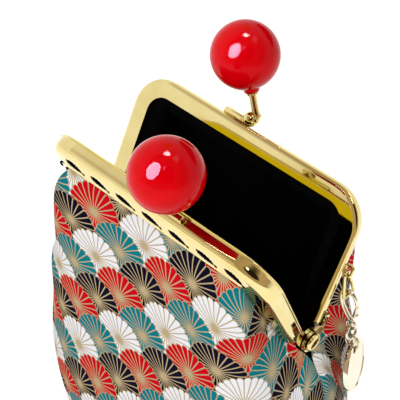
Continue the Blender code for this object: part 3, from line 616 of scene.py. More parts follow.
def block(corners_low, corners_high):
    """A six-sided block from two rings of four corners."""
    deselect()
    bpy.ops.mesh.primitive_cube_add(size=1.0)
    made = named("block")
    for point in made.data.vertices:
        ring = corners_low if point.co.z < 0 else corners_high
        spot = (0 if point.co.y < 0 else 1) * 2 + (0 if point.co.x < 0 else 1)
        point.co = ring[spot]
    return made


def ring_of_corners(side, near_x, far_x, h, high, low):
    """Four corners at one height, in the order that `block` wants them."""
    ends = (near_x, far_x) if side > 0 else (far_x, near_x)
    return [in_half(side * x, h, d) for d in (high, low) for x in ends]


def round_ear(side, start, thick):
    """A disc on the hinge line and a neck up to the arm, at x from start to start + thick."""
    deselect()
    bpy.ops.mesh.primitive_cylinder_add(
        vertices=64, radius=EAR_RADIUS, depth=thick, rotation=(0.0, math.pi / 2, 0.0),
        location=(side * (start + thick / 2), 0.0, 0.0))
    disc = named("ear")
    set_place(disc)
    rings = []
    for h, low, high in ((NECK_FOOT, -NECK_FOOT_HALF_WIDTH, NECK_FOOT_HALF_WIDTH),
                         (NECK_WAIST, NECK_NEAR, NECK_NEAR + NECK_WIDTH),
                         (NECK_TOP, NECK_NEAR, NECK_NEAR + NECK_WIDTH)):
        rings.append(ring_of_corners(side, start, start + thick, h, high, low))
    combine(disc, block(rings[0], rings[1]))
    combine(disc, block(rings[1], rings[2]))
    return disc


def step_block(side):
    """The joggle that carries the outer ear out from the arm."""
    near = NECK_NEAR + 0.15 * MM
    far = near + NECK_WIDTH - 0.3 * MM
    inner = INNER_EAR[0] + EAR_SHEET - 0.3 * MM
    foot = ring_of_corners(side, inner, OUTER_EAR[0] + 0.2 * MM, ARM_END + 0.2 * MM, far, near)
    top = ring_of_corners(side, inner, inner + 0.5 * MM, NECK_TOP + 0.5 * MM, far, near)
    return block(foot, top)


def drill(name, radius, depth, places):
    """One cutter made of many pins."""
    made = None
    for matrix in places:
        deselect()
        bpy.ops.mesh.primitive_cylinder_add(vertices=24, radius=radius, depth=depth)
        pin = named(name)
        set_place(pin, matrix)
        if made:
            pin.select_set(True)
            made.select_set(True)
            bpy.context.view_layer.objects.active = made
            bpy.ops.object.join()
        else:
            made = pin
    return made


# %% [markdown]
# ## Where the sewing runs
# The stitches lie along a line 5 mm in from the frame's edge, which follows the corner. A stitch
# is 6.4 mm long, the next one starts 10 mm after its start, and each end has a needle hole.
# A hand-sewn stitch doesn't lie quite on the line: it starts 0.7 mm to one side of it and ends
# as far to the other.

# %% Sewing line
STITCH_PITCH = 10.0 * MM
STITCH_LENGTH = 6.4 * MM
STITCH_INSET = 5.0 * MM
STITCH_SHIFT = 1.4 * MM
STITCH_SLANT = 0.7 * MM
THREAD_RADIUS = 0.5 * MM
STITCH_FACE = OUTER_FACE + flange_rise(STITCH_INSET)
STITCH_MIDDLES = [STITCH_SHIFT + k * STITCH_PITCH for k in range(-4, 5)]


def stitch_line(run):
    """A point (x, h) on the sewing line, run along it from the middle of the bar."""
    side = 1.0 if run >= 0 else -1.0
    run = abs(run)
    radius = CORNER_RADIUS - STITCH_INSET
    arc = radius * math.pi / 2
    if run <= STRAIGHT_HALF:
        return side * run, FRAME_HEIGHT - STITCH_INSET
    if run <= STRAIGHT_HALF + arc:
        turn = (run - STRAIGHT_HALF) / radius
        return side * (STRAIGHT_HALF + radius * math.sin(turn)), ARM_TOP + radius * math.cos(turn)
    return side * (HALF_WIDTH - STITCH_INSET), ARM_TOP - (run - STRAIGHT_HALF - arc)


def sewn_point(run, beside=0.0):
    """A point (x, h) on the slanting stitches, or at `beside` from them across the line."""
    nearest = round((run - STITCH_SHIFT) / STITCH_PITCH) * STITCH_PITCH + STITCH_SHIFT
    past = (run - nearest) / (STITCH_LENGTH / 2)
    gap = (STITCH_PITCH - STITCH_LENGTH) / STITCH_LENGTH
    over = max(-1.0, min(1.0, past)) * (1.0 - max(0.0, abs(past) - 1.0) / gap)
    x, h = stitch_line(run)
    x2, h2 = stitch_line(run + 0.1 * MM)
    across = Vector((h2 - h, x - x2)).normalized()
    shift = beside + STITCH_SLANT * over
    return x + across.x * shift, h + across.y * shift


def needle_places():
    turn = Matrix.Rotation(math.pi / 2, 4, "X")
    spots = [sewn_point(middle + end * STITCH_LENGTH)
             for middle in STITCH_MIDDLES for end in (-0.5, 0.5)]
    return [Matrix.Translation(in_half(x, h, STITCH_FACE - SHEET / 2)) @ turn for x, h in spots]


print(len(STITCH_MIDDLES), "stitches on each half, with", len(needle_places()), "needle holes")

# %% [markdown]
# The two halves are now pressed alike: channel, ears, the step that carries the outer ear, and
# the holes. Polished metal shows every slip in its shading. Weighted normals, last of all, keep
# the flat flange a flat mirror right up to the edges that are shaded round.

# %% Press both halves
ACROSS_HINGE = Matrix.Rotation(math.pi / 2, 4, "Y")
for side_name, lean, body in SIDES:
    half = sweep_channel(side_name + "_frame_plate")
    combine(half, round_ear(1.0, *INNER_EAR))
    combine(half, round_ear(-1.0, *OUTER_EAR))
    combine(half, step_block(-1.0))
    eyes = drill("eyes", RIVET_RADIUS + 0.1 * MM, 100.0 * MM, [ACROSS_HINGE])
    combine(half, eyes, "DIFFERENCE")
    holes = drill("needle_holes", THREAD_RADIUS + 0.02 * MM, SHEET * 2, needle_places())
    combine(half, holes, "DIFFERENCE")
    finish(half, body, side_name + "_frame", GOLD, lean, 28.0)
    add_modifier(half, "WEIGHTED_NORMAL", keep_sharp=True)
    apply_all(half)

# %% [markdown]
# ## Sewing thread
# Three thin strands twist round one path. The path goes over the flange between two holes and
# behind it to the next pair. On top the thread is fat in the middle and pinched at the
# holes, which gives the stitches their pointed shape. Beside a hole the path is given by
# points: how far past the hole, how far from the thread's level there, and how thick it is.

# %% The thread's way
STRANDS = 3
TWIST = 3.4 * MM
THREAD_OVER = STITCH_FACE + THREAD_RADIUS * 0.2
THREAD_UNDER = STITCH_FACE - SHEET - 0.45 * MM - THREAD_RADIUS
TAIL = 2.0 * MM
THIN = 0.6
FAT = 1.05
LEGS = ((1.0, THREAD_UNDER, 0.0, THIN), (0.2, THREAD_UNDER, 0.4, 0.5),
        (-0.1, THREAD_OVER, -0.25, 0.5), (-0.8, THREAD_OVER, -0.04, 0.75),
        (-2.0, THREAD_OVER, 0.0, 1.0))


def soften(points, steps):
    """More points on a smooth curve through the given (run, d, size) points."""
    fine = []
    for k in range(len(points) - 1):
        a = points[max(k - 1, 0)]
        b, c = points[k], points[k + 1]
        e = points[min(k + 2, len(points) - 1)]
        for small_step in range(steps):
            t = small_step / steps
            fine.append(tuple(
                0.5 * (2 * q + (r - p) * t + (2 * p - 5 * q + 4 * r - s) * t ** 2
                       + (3 * q - p - 3 * r + s) * t ** 3) for p, q, r, s in zip(a, b, c, e)))
    return fine + [points[-1]]


def thread_route():
    """(run, d, size) from one end of the sewing to the other."""
    points = []
    for middle in STITCH_MIDDLES:
        for side in (-1.0, 1.0):
            end = middle + side * STITCH_LENGTH / 2
            legs = [(end + side * past * MM, level + off * MM, size)
                    for past, level, off, size in LEGS]
            points += legs if side < 0 else legs[::-1]
            if side < 0:
                points.append((middle, THREAD_OVER, FAT))
    points.insert(0, (points[0][0] - TAIL, THREAD_UNDER, THIN))
    points.append((points[-1][0] + TAIL, THREAD_UNDER, THIN))
    return soften(points, 6)


ROUTE = thread_route()
print("the thread goes through", len(ROUTE), "points")


# %% Thread
def strand(turn):
    """One strand, wound round the route as a flattened screw."""
    points, sizes = [], []
    for run, d, size in ROUTE:
        angle = turn + 2 * math.pi * run / TWIST
        shift = THREAD_RADIUS * 0.36 * size
        x, h = sewn_point(run, shift * math.cos(angle))
        points.append(in_half(x, h, d + shift * 0.5 * math.sin(angle)))
        sizes.append(size)
    return bent_wire("strand", points, THREAD_RADIUS * 0.5, sizes=sizes, roundness=2)


for side_name, lean, body in SIDES:
    strands = [strand(2 * math.pi * k / STRANDS) for k in range(STRANDS)]
    deselect()
    for piece in strands:
        piece.select_set(True)
    bpy.context.view_layer.objects.active = strands[0]
    bpy.ops.object.join()
    thread = named(side_name + "_thread")
    finish(thread, body, side_name + "_sewing_thread", THREAD, lean, 80.0)

# %% [markdown]
# ## Rivets
# A rivet's head is a shallow dome with a soft edge. The shank is a cylinder through both ears.
# Its outer end is widened and pushed out in small steps to the head, and its inner end, in
# fewer and shorter steps, to the small tail. A step gives the width, as a share of the width
# before it, and the rise in mm.

# %% Rivets
HEAD_RADIUS = 2.8 * MM
HEAD_STEPS = ((HEAD_RADIUS / RIVET_RADIUS, 0.0), (1.0, 0.25), (0.96, 0.3), (0.86, 0.25),
              (0.68, 0.15), (0.4, 0.05))
TAIL_STEPS = ((1.6, 0.0), (1.0, 0.35), (0.85, 0.25), (0.5, 0.1))


def push_out(steps, side):
    for factor, rise in steps:
        bpy.ops.mesh.extrude_region_move(
            TRANSFORM_OT_translate={"value": (0.0, 0.0, side * rise * MM)})
        bpy.ops.transform.resize(value=(factor, factor, 1.0))


def rivet(side_name, side):
    outer = OUTER_EAR[0] + EAR_SHEET + EAR_GAP
    inner = INNER_EAR[0] - EAR_GAP
    deselect()
    bpy.ops.mesh.primitive_cylinder_add(vertices=48, radius=RIVET_RADIUS, depth=outer - inner,
                                        location=(0.0, 0.0, (outer + inner) / 2))
    made = named(side_name + "_rivet_head")
    set_place(made)
    bpy.ops.object.mode_set(mode="EDIT")
    select_where("faces", lambda face: face.normal.z > 0.9)
    push_out(HEAD_STEPS, 1.0)
    select_where("faces", lambda face: face.normal.z < -0.9
                 and face.calc_center_median().length < inner * 1.01)
    push_out(TAIL_STEPS, -1.0)
    bpy.ops.object.mode_set(mode="OBJECT")
    turn = (MIDDLE @ Matrix.Translation((0, 0, HINGE_HEIGHT))
            @ Matrix.Rotation(side * math.pi / 2, 4, "Y"))
    finish(made, "back_half", side_name + "_rivet", GOLD, turn, 40.0)


rivet("right", 1.0)
rivet("left", -1.0)

# %% [markdown]
# ## Ball clasps
# Each ball stands off to one side on a bent stem. The stem is a short strip on the bar, a bead at
# its end, and a rod that leans back over the strip and up into the ball. When the purse
# shuts, the balls pass each other and click. A ball is a sphere whose lowest faces are inset
# and drawn down to a short neck, with its pole turned along the stem. The rod's points are
# given in mm from the elbow and from the seat of its collar, each with the rod's thickness.

# %% Balls
BALL_RADIUS = 10.0 * MM
BALL_MIDDLE = in_half(10.2 * MM, FRAME_HEIGHT + 18.5 * MM, -0.4 * MM)
NECK_STEPS = ((0.25, 0.94), (0.6, 0.86), (0.1, 0.9))


def ball(name):
    deselect()
    bpy.ops.mesh.primitive_uv_sphere_add(segments=96, ring_count=48, radius=BALL_RADIUS)
    made = named(name)
    bpy.ops.object.mode_set(mode="EDIT")
    select_where("faces", lambda face: face.calc_center_median().z < -BALL_RADIUS * 0.966)
    bpy.ops.mesh.inset(thickness=0.12 * MM)
    for down, factor in NECK_STEPS:
        bpy.ops.mesh.extrude_region_move(
            TRANSFORM_OT_translate={"value": (0.0, 0.0, -down * MM)})
        bpy.ops.transform.resize(value=(factor, factor, 0.6))
    bpy.ops.object.mode_set(mode="OBJECT")
    return made


# %% Stems
STEM_DEPTH = 2.75 * MM
STEM_RADIUS = 1.15 * MM
BEAD_RADIUS = 2.25 * MM
BEAD_SIDEWAYS = 3.0 * MM
SOLE_BOTTOM = FRAME_HEIGHT - RIM_HEIGHT + 0.1 * MM
SOLE_SIZE = (9.0 * MM, 2.0 * MM, 2.1 * MM)
SOLE_MIDDLE = in_half(BEAD_SIDEWAYS + SOLE_SIZE[0] / 2, SOLE_BOTTOM + SOLE_SIZE[2] / 2,
                      STEM_DEPTH)
BEAD_MIDDLE = in_half(BEAD_SIDEWAYS, SOLE_BOTTOM + BEAD_RADIUS, STEM_DEPTH)
ELBOW = in_half(1.3 * MM, SOLE_BOTTOM + BEAD_RADIUS + 1.3 * MM, STEM_DEPTH)
STEM_WAY = (BALL_MIDDLE - ELBOW).normalized()
BALL_TURN = STEM_WAY.to_track_quat("Z", "Y").to_matrix().to_4x4()
COLLAR_SEAT = BALL_MIDDLE - STEM_WAY * (BALL_RADIUS + 0.8 * MM)
ROD_AT_ELBOW = ((-0.1, -0.6, 1.0), (-0.15, 0.5, 1.0))
ROD_FROM_ELBOW = ((1.4, 1.0), (3.0, 0.97))
ROD_FROM_SEAT = ((-0.75, 0.95), (-0.7, 1.35), (-0.15, 1.4), (0.0, 1.2), (0.02, 0.8), (2.0, 0.8))


def bent_rod(name):
    """From the bead round the elbow and up into the ball, with a collar below the ball."""
    route = [(BEAD_MIDDLE, 1.0)]
    route += [(ELBOW + Vector((x * MM, 0.0, z * MM)), size) for x, z, size in ROD_AT_ELBOW]
    route += [(ELBOW + STEM_WAY * past * MM, size) for past, size in ROD_FROM_ELBOW]
    route += [(COLLAR_SEAT + STEM_WAY * past * MM, size) for past, size in ROD_FROM_SEAT]
    points, sizes = zip(*route)
    return bent_wire(name, points, STEM_RADIUS, sizes=sizes, roundness=8)


def sole():
    deselect()
    bpy.ops.mesh.primitive_cube_add(size=1.0, location=SOLE_MIDDLE, scale=SOLE_SIZE)
    strip = named("sole")
    set_place(strip)
    add_modifier(strip, "BEVEL", width=0.45 * MM, segments=4, limit_method="NONE")
    apply_all(strip)
    return strip


for side_name, lean, body in SIDES:
    lean_ball = lean @ Matrix.Translation(BALL_MIDDLE) @ BALL_TURN
    made = ball(side_name + "_ball_gloss")
    finish(made, body, side_name + "_ball", RED, lean_ball, 60.0)
    stem = bent_rod(side_name + "_stem")
    deselect()
    bpy.ops.mesh.primitive_uv_sphere_add(segments=48, ring_count=24, radius=BEAD_RADIUS,
                                         location=BEAD_MIDDLE)
    bead = named("bead")
    set_place(bead)
    combine(stem, bead)
    combine(stem, sole())
    finish(stem, body, side_name + "_ball_stem", GOLD, lean, 30.0)

# %% [markdown]
# ## Cloth
# A panel of the bag is one sheet whose top edge is glued into the channel. It folds out past
# the flange, hangs down full and round, and meets the other panel in a seam down each
# side and under the base. It starts as a flat grid, and each row of the grid is laid on a
# curve from the seam to the middle. Subdivision rounds it, and Solidify gives it
# thickness. The lining is the same sheet, one step further in.

# %% Curves of the bag
BAG_HALF_WIDTH = 51.2 * MM
BAG_HALF_DEPTH = 27.0 * MM
WAIST_DROP = 20.0 * MM
SIDE_DROP = 22.0 * MM
SEAM_TOP_DROP = 5.6 * MM
SEAM_TOP_WIDTH = 43.0 * MM
HINGE_PASS = 4.7 * MM
BASE_FLATTEN = 3.5 * MM
CORNER_POWER = 4.0
SHOULDER_BULGE = 14.0 * MM
SHOULDER_FORWARD = 7.5 * MM
CLOTH = 0.6 * MM
LINING_SHEET = 0.5 * MM
CLOTH_IN_CHANNEL = (2.0 * MM, 2.45 * MM)
LINING_IN_CHANNEL = (2.8 * MM, 1.6 * MM)
CLOTH_BEND = OUTER_FACE - 0.4 * MM
CLOTH_PAST_FLANGE = 0.8 * MM
ARM_TUCK = 1.6 * MM
ARM_TUCK_DEPTH = 1.2 * MM
LINING_STEP = 1.7 * MM
SEAM = 0.05 * MM
BASE_LEVEL = CLOTH / 2
SEAM_UPPER = 0.3
SEAM_CURVE = 1.8
SPINE_UPPER = 0.42
SPINE_WALL = 0.86


def smooth_step(value):
    value = min(1.0, max(0.0, value))
    return value * value * (3.0 - 2.0 * value)


def corner_station(angle):
    x = STRAIGHT_HALF + CORNER_RADIUS * math.cos(angle)
    h = ARM_TOP + CORNER_RADIUS * math.sin(angle)
    return x, h, -math.cos(angle), -math.sin(angle)


def frame_station(run):
    """A point of the frame's outline: run 0 is the bar's middle, 1 the corner, 2 the arm's end."""
    half_arc = CORNER_RADIUS * math.pi / 4
    if run <= 1.0:
        along = run * (STRAIGHT_HALF + half_arc)
        if along <= STRAIGHT_HALF:
            return along, FRAME_HEIGHT, 0.0, -1.0
        return corner_station(math.pi / 2 - (along - STRAIGHT_HALF) / CORNER_RADIUS)
    along = (run - 1.0) * (half_arc + ARM_TOP - ARM_END)
    if along <= half_arc:
        return corner_station(math.pi / 4 - along / CORNER_RADIUS)
    return HALF_WIDTH, ARM_TOP - (along - half_arc), -1.0, 0.0


def ring_point(level, run, inner):
    """Level 0 is the edge in the channel, 1 the fold at the flange's edge, 2 just outside."""
    x, h, inward_x, inward_h = frame_station(run)
    inset, d = LINING_IN_CHANNEL if inner else CLOTH_IN_CHANNEL
    tuck = smooth_step((run - 1.0) * 2.0)
    if level > 0:
        inset = flange_width(h) + CLOTH_PAST_FLANGE + ARM_TUCK * tuck
    if level == 1 and inner:
        inset += LINING_STEP
    if level == 2:
        d = CLOTH_BEND + flange_rise(flange_width(h)) - ARM_TUCK_DEPTH * tuck
    return LEAN @ in_half(x + inward_x * inset, h + inward_h * inset, d)


def power_arc(width, height, turn):
    share = 2.0 / CORNER_POWER
    return width * math.cos(turn) ** share, height * math.sin(turn) ** share


def wall_arc(half, reach, share):
    """Down a side wall and under it: (out, z), share 0 at the wall's top, 1 on the base."""
    turn = math.asin((reach / (reach + BASE_FLATTEN)) ** (CORNER_POWER / 2.0)) * share
    out, drop = power_arc(half, reach + BASE_FLATTEN, turn)
    return out, BASE_LEVEL + reach - drop


def seam_point(share):
    """The side seam: share 0 below the hinge, 1 at the middle of the base."""
    if share >= SEAM_UPPER:
        reach = HINGE_HEIGHT - SIDE_DROP - BASE_LEVEL
        x, z = wall_arc(BAG_HALF_WIDTH, reach, (share - SEAM_UPPER) / (1.0 - SEAM_UPPER))
        return Vector((x, -SEAM, z))
    rest = 1.0 - share / SEAM_UPPER
    x = BAG_HALF_WIDTH - (BAG_HALF_WIDTH - SEAM_TOP_WIDTH) * rest ** SEAM_CURVE
    z = HINGE_HEIGHT - SIDE_DROP + (SIDE_DROP - SEAM_TOP_DROP) * rest
    return Vector((x, -SEAM, z))


def spine_point(share):
    """Middle line of the front panel: share 0 under the bar, 1 at the base seam."""
    start = ring_point(2, 0.0, False)
    waist = HINGE_HEIGHT - WAIST_DROP
    if share < SPINE_UPPER:
        rest = 1.0 - share / SPINE_UPPER
        y = -BAG_HALF_DEPTH + (start.y + BAG_HALF_DEPTH) * rest ** 2
        return Vector((0.0, y, waist + (start.z - waist) * rest))
    down = min(1.0, (share - SPINE_UPPER) / (SPINE_WALL - SPINE_UPPER))
    out, z = wall_arc(BAG_HALF_DEPTH, waist - BASE_LEVEL, down)
    if share < SPINE_WALL:
        return Vector((0.0, -out, z))
    rest = (1.0 - share) / (1.0 - SPINE_WALL)
    return Vector((0.0, -SEAM - (out - SEAM) * rest, z))


print("the panel's middle line ends at", [round(v / MM, 1) for v in spine_point(1.0)], "mm")

# %% [markdown]
# ### Rows of the sheet
# A row ends at the channel, beside the hinge or in the seam, with its last points close
# together so that the fold there stays crisp. The rest of the row is one Bezier curve. The
# first rows run beside the frame, one passes the hinge, and the others end in the seam.

# %% Rows
ROW_POINTS = 9
SIDE_ROWS = 6
ROWS = 16
HINGE_ROW_DROP = 1.5 * MM
HINGE_ROW_EDGE = ((0.0, 0.0), (0.4, 1.6), (0.9, 3.4))
SEAM_SETTLES = 0.85
SEAM_INWARD = (1.8 * MM, 1.6 * MM)
SEAM_TUCK = (0.7 * MM, 0.25 * MM)
SEAM_EDGE = (0.6, 2.2)
TOWARDS_SPINE = 0.9
MIDDLE_SHARE = 0.7
BULGE_ROWS = 9.0


def side_run(row, level):
    return 1.0 + (row - level) / (SIDE_ROWS - level)


def side_edges(row, inner):
    """The last three points of a row at +X, from the cloth's edge inwards."""
    if row <= SIDE_ROWS:
        return [ring_point(level, side_run(row, level), inner) for level in range(3)]
    if row == SIDE_ROWS + 1:
        lining_step = LINING_STEP if inner else 0.0
        edge = Vector((INNER_EAR[0] - EAR_GAP - lining_step, lining_step * 0.6 - HINGE_PASS,
                       HINGE_HEIGHT - HINGE_ROW_DROP))
        return [edge + Vector((out * MM, -forward * MM, 0.0))
                for out, forward in HINGE_ROW_EDGE]
    share = (row - SIDE_ROWS - 2) / (ROWS - SIDE_ROWS - 2)
    edge = seam_point(share)
    settle = smooth_step((share - SEAM_SETTLES) / (1.0 - SEAM_SETTLES))
    inward = Vector((-SEAM_INWARD[0] * settle, -SEAM_INWARD[1] * (1.0 - settle), 0.0))
    tuck = Vector((-SEAM_TUCK[0] * (1.0 - settle), 0.0, SEAM_TUCK[1] * settle))
    return [edge + tuck] + [edge + inward * share for share in SEAM_EDGE]


def bezier(ends, share):
    a, b, c, d = ends
    rest = 1.0 - share
    return a * rest ** 3 + b * 3 * rest ** 2 * share + c * 3 * rest * share ** 2 + d * share ** 3


def half_row(row, inner):
    """Points of one row from its edge at +X to the middle of the panel."""
    count = ROW_POINTS + 3
    if row < 3:
        hidden = [ring_point(k, side_run(row, k), inner) for k in range(row)]
        return hidden + [ring_point(row, 1.0 - (k - row) / (count - 1 - row), inner)
                         for k in range(row, count)]
    edges = side_edges(row, inner)
    spine = spine_point((row - 2) / (ROWS - 2))
    start = edges[2]
    outer = start.lerp(spine, TOWARDS_SPINE)
    fullness = math.sin(math.pi * min(1.0, (row - 2) / BULGE_ROWS) ** 0.5)
    outer.x = start.x + SHOULDER_BULGE * fullness
    outer.y -= SHOULDER_FORWARD * fullness
    middle = Vector((start.x * MIDDLE_SHARE, spine.y, spine.z))
    ends = (start, outer, middle, spine)
    return edges[:2] + [bezier(ends, k / ROW_POINTS) for k in range(ROW_POINTS + 1)]


def full_row(row, inner):
    right = half_row(row, inner)
    left = [Vector((-point.x, point.y, point.z)) for point in right[:-1]]
    return left + right[::-1]


# %% [markdown]
# ### Map of the print
# The map is measured in mm: across, along each row of the sheet from its middle, and down, from
# the height of a point, which on the base goes over into how far it lies under the bag. The
# print's first row starts where the real one does. Cloth is cut and glued by hand, so the print
# drifts: ten numbers, fitted to the centres of the flowers in the photo, say by how many mm, as
# shares of 1, x, y, y squared and xy, with x and y in cm.

# %% Map
PRINT_TOP = 22.6
PRINT_SHIFT = 0.6
PRINT_SLANT = 0.028
DRIFT_ACROSS = (0.93, -0.48, -1.65, 0.24, 0.09)
DRIFT_DOWN = (0.06, -0.15, 2.4, -0.38, -0.12)
DRIFT_ENDS = 80.0
BASE_ROWS = 3
BASE_FROM = BAG_HALF_DEPTH * 0.7
BASE_TOP = 12.0
BASE_EASE = 8.0


def drift(shares, x, y):
    return sum(share * term for share, term in zip(shares, (1.0, x, y, y * y, x * y)))


def drifted(across, down):
    """The print as the cloth was cut: it runs a little aslant and is stretched lower down."""
    x, y = across / 10.0, min(down, DRIFT_ENDS) / 10.0
    return across + drift(DRIFT_ACROSS, x, y), down + drift(DRIFT_DOWN, x, y)


def along_row(points):
    """How far each point of a row lies from its middle, in mm, to the right and the left."""
    middle = len(points) // 2
    line = [0.0] * len(points)
    for k in range(middle + 1, len(points)):
        line[k] = line[k - 1] + (points[k] - points[k - 1]).length / MM
    for k in range(middle - 1, -1, -1):
        line[k] = line[k + 1] - (points[k] - points[k + 1]).length / MM
    return line


def sheet_map(rows):
    """(across, down) in mm for every point of the sheet."""
    mapped = []
    for row, points in enumerate(rows):
        line = []
        for place, point in zip(along_row(points), points):
            down = PRINT_TOP - (point.z - HINGE_HEIGHT) / MM
            if row > ROWS - BASE_ROWS - 1:
                under = smooth_step((BASE_TOP - point.z / MM) / BASE_EASE)
                down += max(0.0, (BASE_FROM + point.y) / MM) * under
            line.append(drifted(place - PRINT_SHIFT - PRINT_SLANT * down, down))
        mapped.append(line)
    return mapped


# %% [markdown]
# ### The sheet
# A grid is added, and its points are laid on the rows. The lining's points then move inwards
# along their normals, so that it lies clear of the cloth everywhere but in the channel.

# %% Sheet
MOST_SPREAD = 1.3


def push_in(grid):
    """Move the lining's points inwards, except where the channel holds them."""
    moves = []
    for row, points in enumerate(grid):
        for k, point in enumerate(points):
            from_edge = min(k, len(points) - 1 - k)
            held = row < 2 or (from_edge < 2 and row <= SIDE_ROWS)
            held = held or (from_edge < 3 and row == SIDE_ROWS + 1)
            if not held:
                spread = min(point.calc_shell_factor(), MOST_SPREAD)
                moves.append((point, point.normal * spread * LINING_STEP))
    for point, move in moves:
        point.co -= move
        point.co.y = min(point.co.y, -SEAM)


def sheet(name, inner):
    """The front sheet of cloth or lining, still without thickness."""
    columns = 2 * (ROW_POINTS + 3) - 1
    deselect()
    bpy.ops.mesh.primitive_grid_add(x_subdivisions=columns - 1, y_subdivisions=ROWS, size=1.0)
    made = named(name)
    rows = [full_row(row, inner) for row in range(ROWS + 1)]
    mesh = bmesh.new()
    mesh.from_mesh(made.data)
    mesh.verts.ensure_lookup_table()
    order = sorted(mesh.verts, key=lambda point: (-round(point.co.y, 4), round(point.co.x, 4)))
    grid = [order[row * columns:(row + 1) * columns] for row in range(ROWS + 1)]
    spots = sheet_map(rows)
    chart = {}
    for row in range(ROWS + 1):
        for k in range(columns):
            grid[row][k].co = rows[row][k]
            chart[grid[row][k]] = spots[row][k]
    mesh.normal_update()
    if inner:
        push_in(grid)
    layer = mesh.loops.layers.uv.verify()
    for face in mesh.faces:
        for loop in face.loops:
            across, down = chart[loop.vert]
            loop[layer].uv = (across / MAP_UNIT, down / MAP_UNIT)
    mesh.to_mesh(made.data)
    mesh.free()
    add_modifier(made, "SUBSURF", levels=2, render_levels=2)
    apply_all(made)
    return made


# %% [markdown]
# ### Soft unevenness
# Cloth glued into a channel is never quite flat. A few shallow waves start under the frame and
# die out lower down, and a soft crease runs on each side from the hinge to the full part of the
# bag. The waves are sines, given as how fast they run across and up in radians per mm, where
# they start, and how much of the depth they take. Waves and crease each have a span in height:
# where it starts and over how many mm it rises, where it ends and over how many it falls.

# %% Waves
WAVE_DEPTH = 0.35 * MM
WAVE_FOOT = 75.0
WAVES = ((0.36, 0.0, 0.8, 0.5), (0.83, 0.05, 0.0, 0.28), (0.06, 0.17, 0.0, 0.35))
WAVE_SPAN = (25.0, 40.0, 103.0, 14.0)
CREASE_SPAN = (40.0, 14.0, 80.0, 10.0)
CREASE_X = 44.0
CREASE_Z = 62.0
CREASE_LEAN = 0.25
CREASE_WIDTH = 2.2
CREASE_DEPTH = 1.2 * WAVE_DEPTH


def between(value, start, rise, end, fall):
    """0 outside start and end, eased up over `rise` and down over `fall`."""
    return smooth_step((value - start) / rise) * smooth_step((end - value) / fall)


def wave(made):
    """Move the sheet's points back and forth; z counts in mm from 75 mm below the hinge."""
    for point in made.data.vertices:
        x, z = point.co.x / MM, (point.co.z - HINGE_HEIGHT) / MM + WAVE_FOOT
        waves = sum(share * math.sin(x * across + z * up + start)
                    for across, up, start, share in WAVES)
        fade = between(z, *WAVE_SPAN) * smooth_step((40.0 - abs(x)) / 6.0)
        from_crease = abs(x) - CREASE_X + (z - CREASE_Z) * CREASE_LEAN
        crease = math.exp(-(from_crease / CREASE_WIDTH) ** 2) * between(z, *CREASE_SPAN)
        point.co.y += waves * fade * WAVE_DEPTH
        off_seam = smooth_step((-point.co.y / MM - 4.0) / 6.0)
        point.co.y += crease * CREASE_DEPTH * off_seam


# %% [markdown]
# ### Cloth and lining
# Solidify gives each sheet its thickness. Each sheet is then baked in place, on no body.

# %% Panels and linings
for inner in (False, True):
    for side_name, turn in (("front", MIDDLE), ("back", MIDDLE @ HALF_TURN)):
        name = side_name + ("_lining_sheet" if inner else "_cloth")
        node = side_name + ("_lining" if inner else "_panel")
        made = sheet(name, inner)
        wave(made)
        add_modifier(made, "SOLIDIFY", thickness=LINING_SHEET if inner else CLOTH, offset=0.0)
        finish(made, None, node,
               LINING if inner else PRINT, turn, 50.0)
        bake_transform(made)

# %% [markdown]
# ## The charm
# A small eye is soldered to one arm of the back half. A bent triangle of wire hangs in it, a
# sprung clasp hooks onto the triangle, and two rings carry a plain round tag. The pieces
# hang on a line that leans out a little, because the full bag holds the tag away. Heights
# on that line count from the hook spot, where the triangle hangs in the eye.

# %% Charm line
WIRE = 0.45 * MM
LINK_GAP = 0.15 * MM
HANG = 2 * WIRE + LINK_GAP
EYE_DEPTH = CLOSED_GAP + RIM_WIDTH + 1.3 * MM
EYE_ROOT = HALF_WIDTH - RIM_HEIGHT + 0.1 * MM + WIRE
EYE_HEIGHT = 21.6 * MM
EYE_LENGTH = 3.0 * MM
EYE_REACH = 2.4 * MM
TRIANGLE_BASE = HANG - 7.6 * MM
CLASP_WIRE = 0.65 * MM
CLASP_LENGTH = 10.0 * MM
CLASP_WIDTH = 5.6 * MM
CLASP_BOTTOM = TRIANGLE_BASE + WIRE + CLASP_WIRE + LINK_GAP - CLASP_LENGTH
EYELET_RADIUS = 1.5 * MM
EYELET_MIDDLE = CLASP_BOTTOM - EYELET_RADIUS - WIRE * 0.4
UPPER_RING = 2.3 * MM
LOWER_RING = 2.3 * MM
UPPER_RING_MIDDLE = EYELET_MIDDLE - EYELET_RADIUS + HANG - UPPER_RING
LOWER_RING_MIDDLE = UPPER_RING_MIDDLE - UPPER_RING + HANG - LOWER_RING
HANG_SIDEWAYS = EYE_ROOT + 0.2 * MM + 2.2 * MM * 0.55
CHARM_TILT = math.radians(13.0)
HOOK_SPOT = LEAN_BACK @ in_half(-HANG_SIDEWAYS, EYE_HEIGHT, EYE_DEPTH)
HOOK = Matrix.Translation(HOOK_SPOT) @ Matrix.Rotation(-CHARM_TILT, 4, "Y")
print("charm hangs from", [round(v / MM, 2) for v in HOOK_SPOT])

# %% Eye
BEND_RADIUS = 0.7 * MM
BEND_STEPS = 8


def rounded_corners(corners):
    points = []
    for k, corner in enumerate(corners):
        before = (corners[k - 1] - corner).normalized() * BEND_RADIUS
        after = (corners[(k + 1) % len(corners)] - corner).normalized() * BEND_RADIUS
        for bend in range(BEND_STEPS + 1):
            share = bend / BEND_STEPS
            points.append(corner + before * (1 - share) ** 2 + after * share ** 2)
    return points


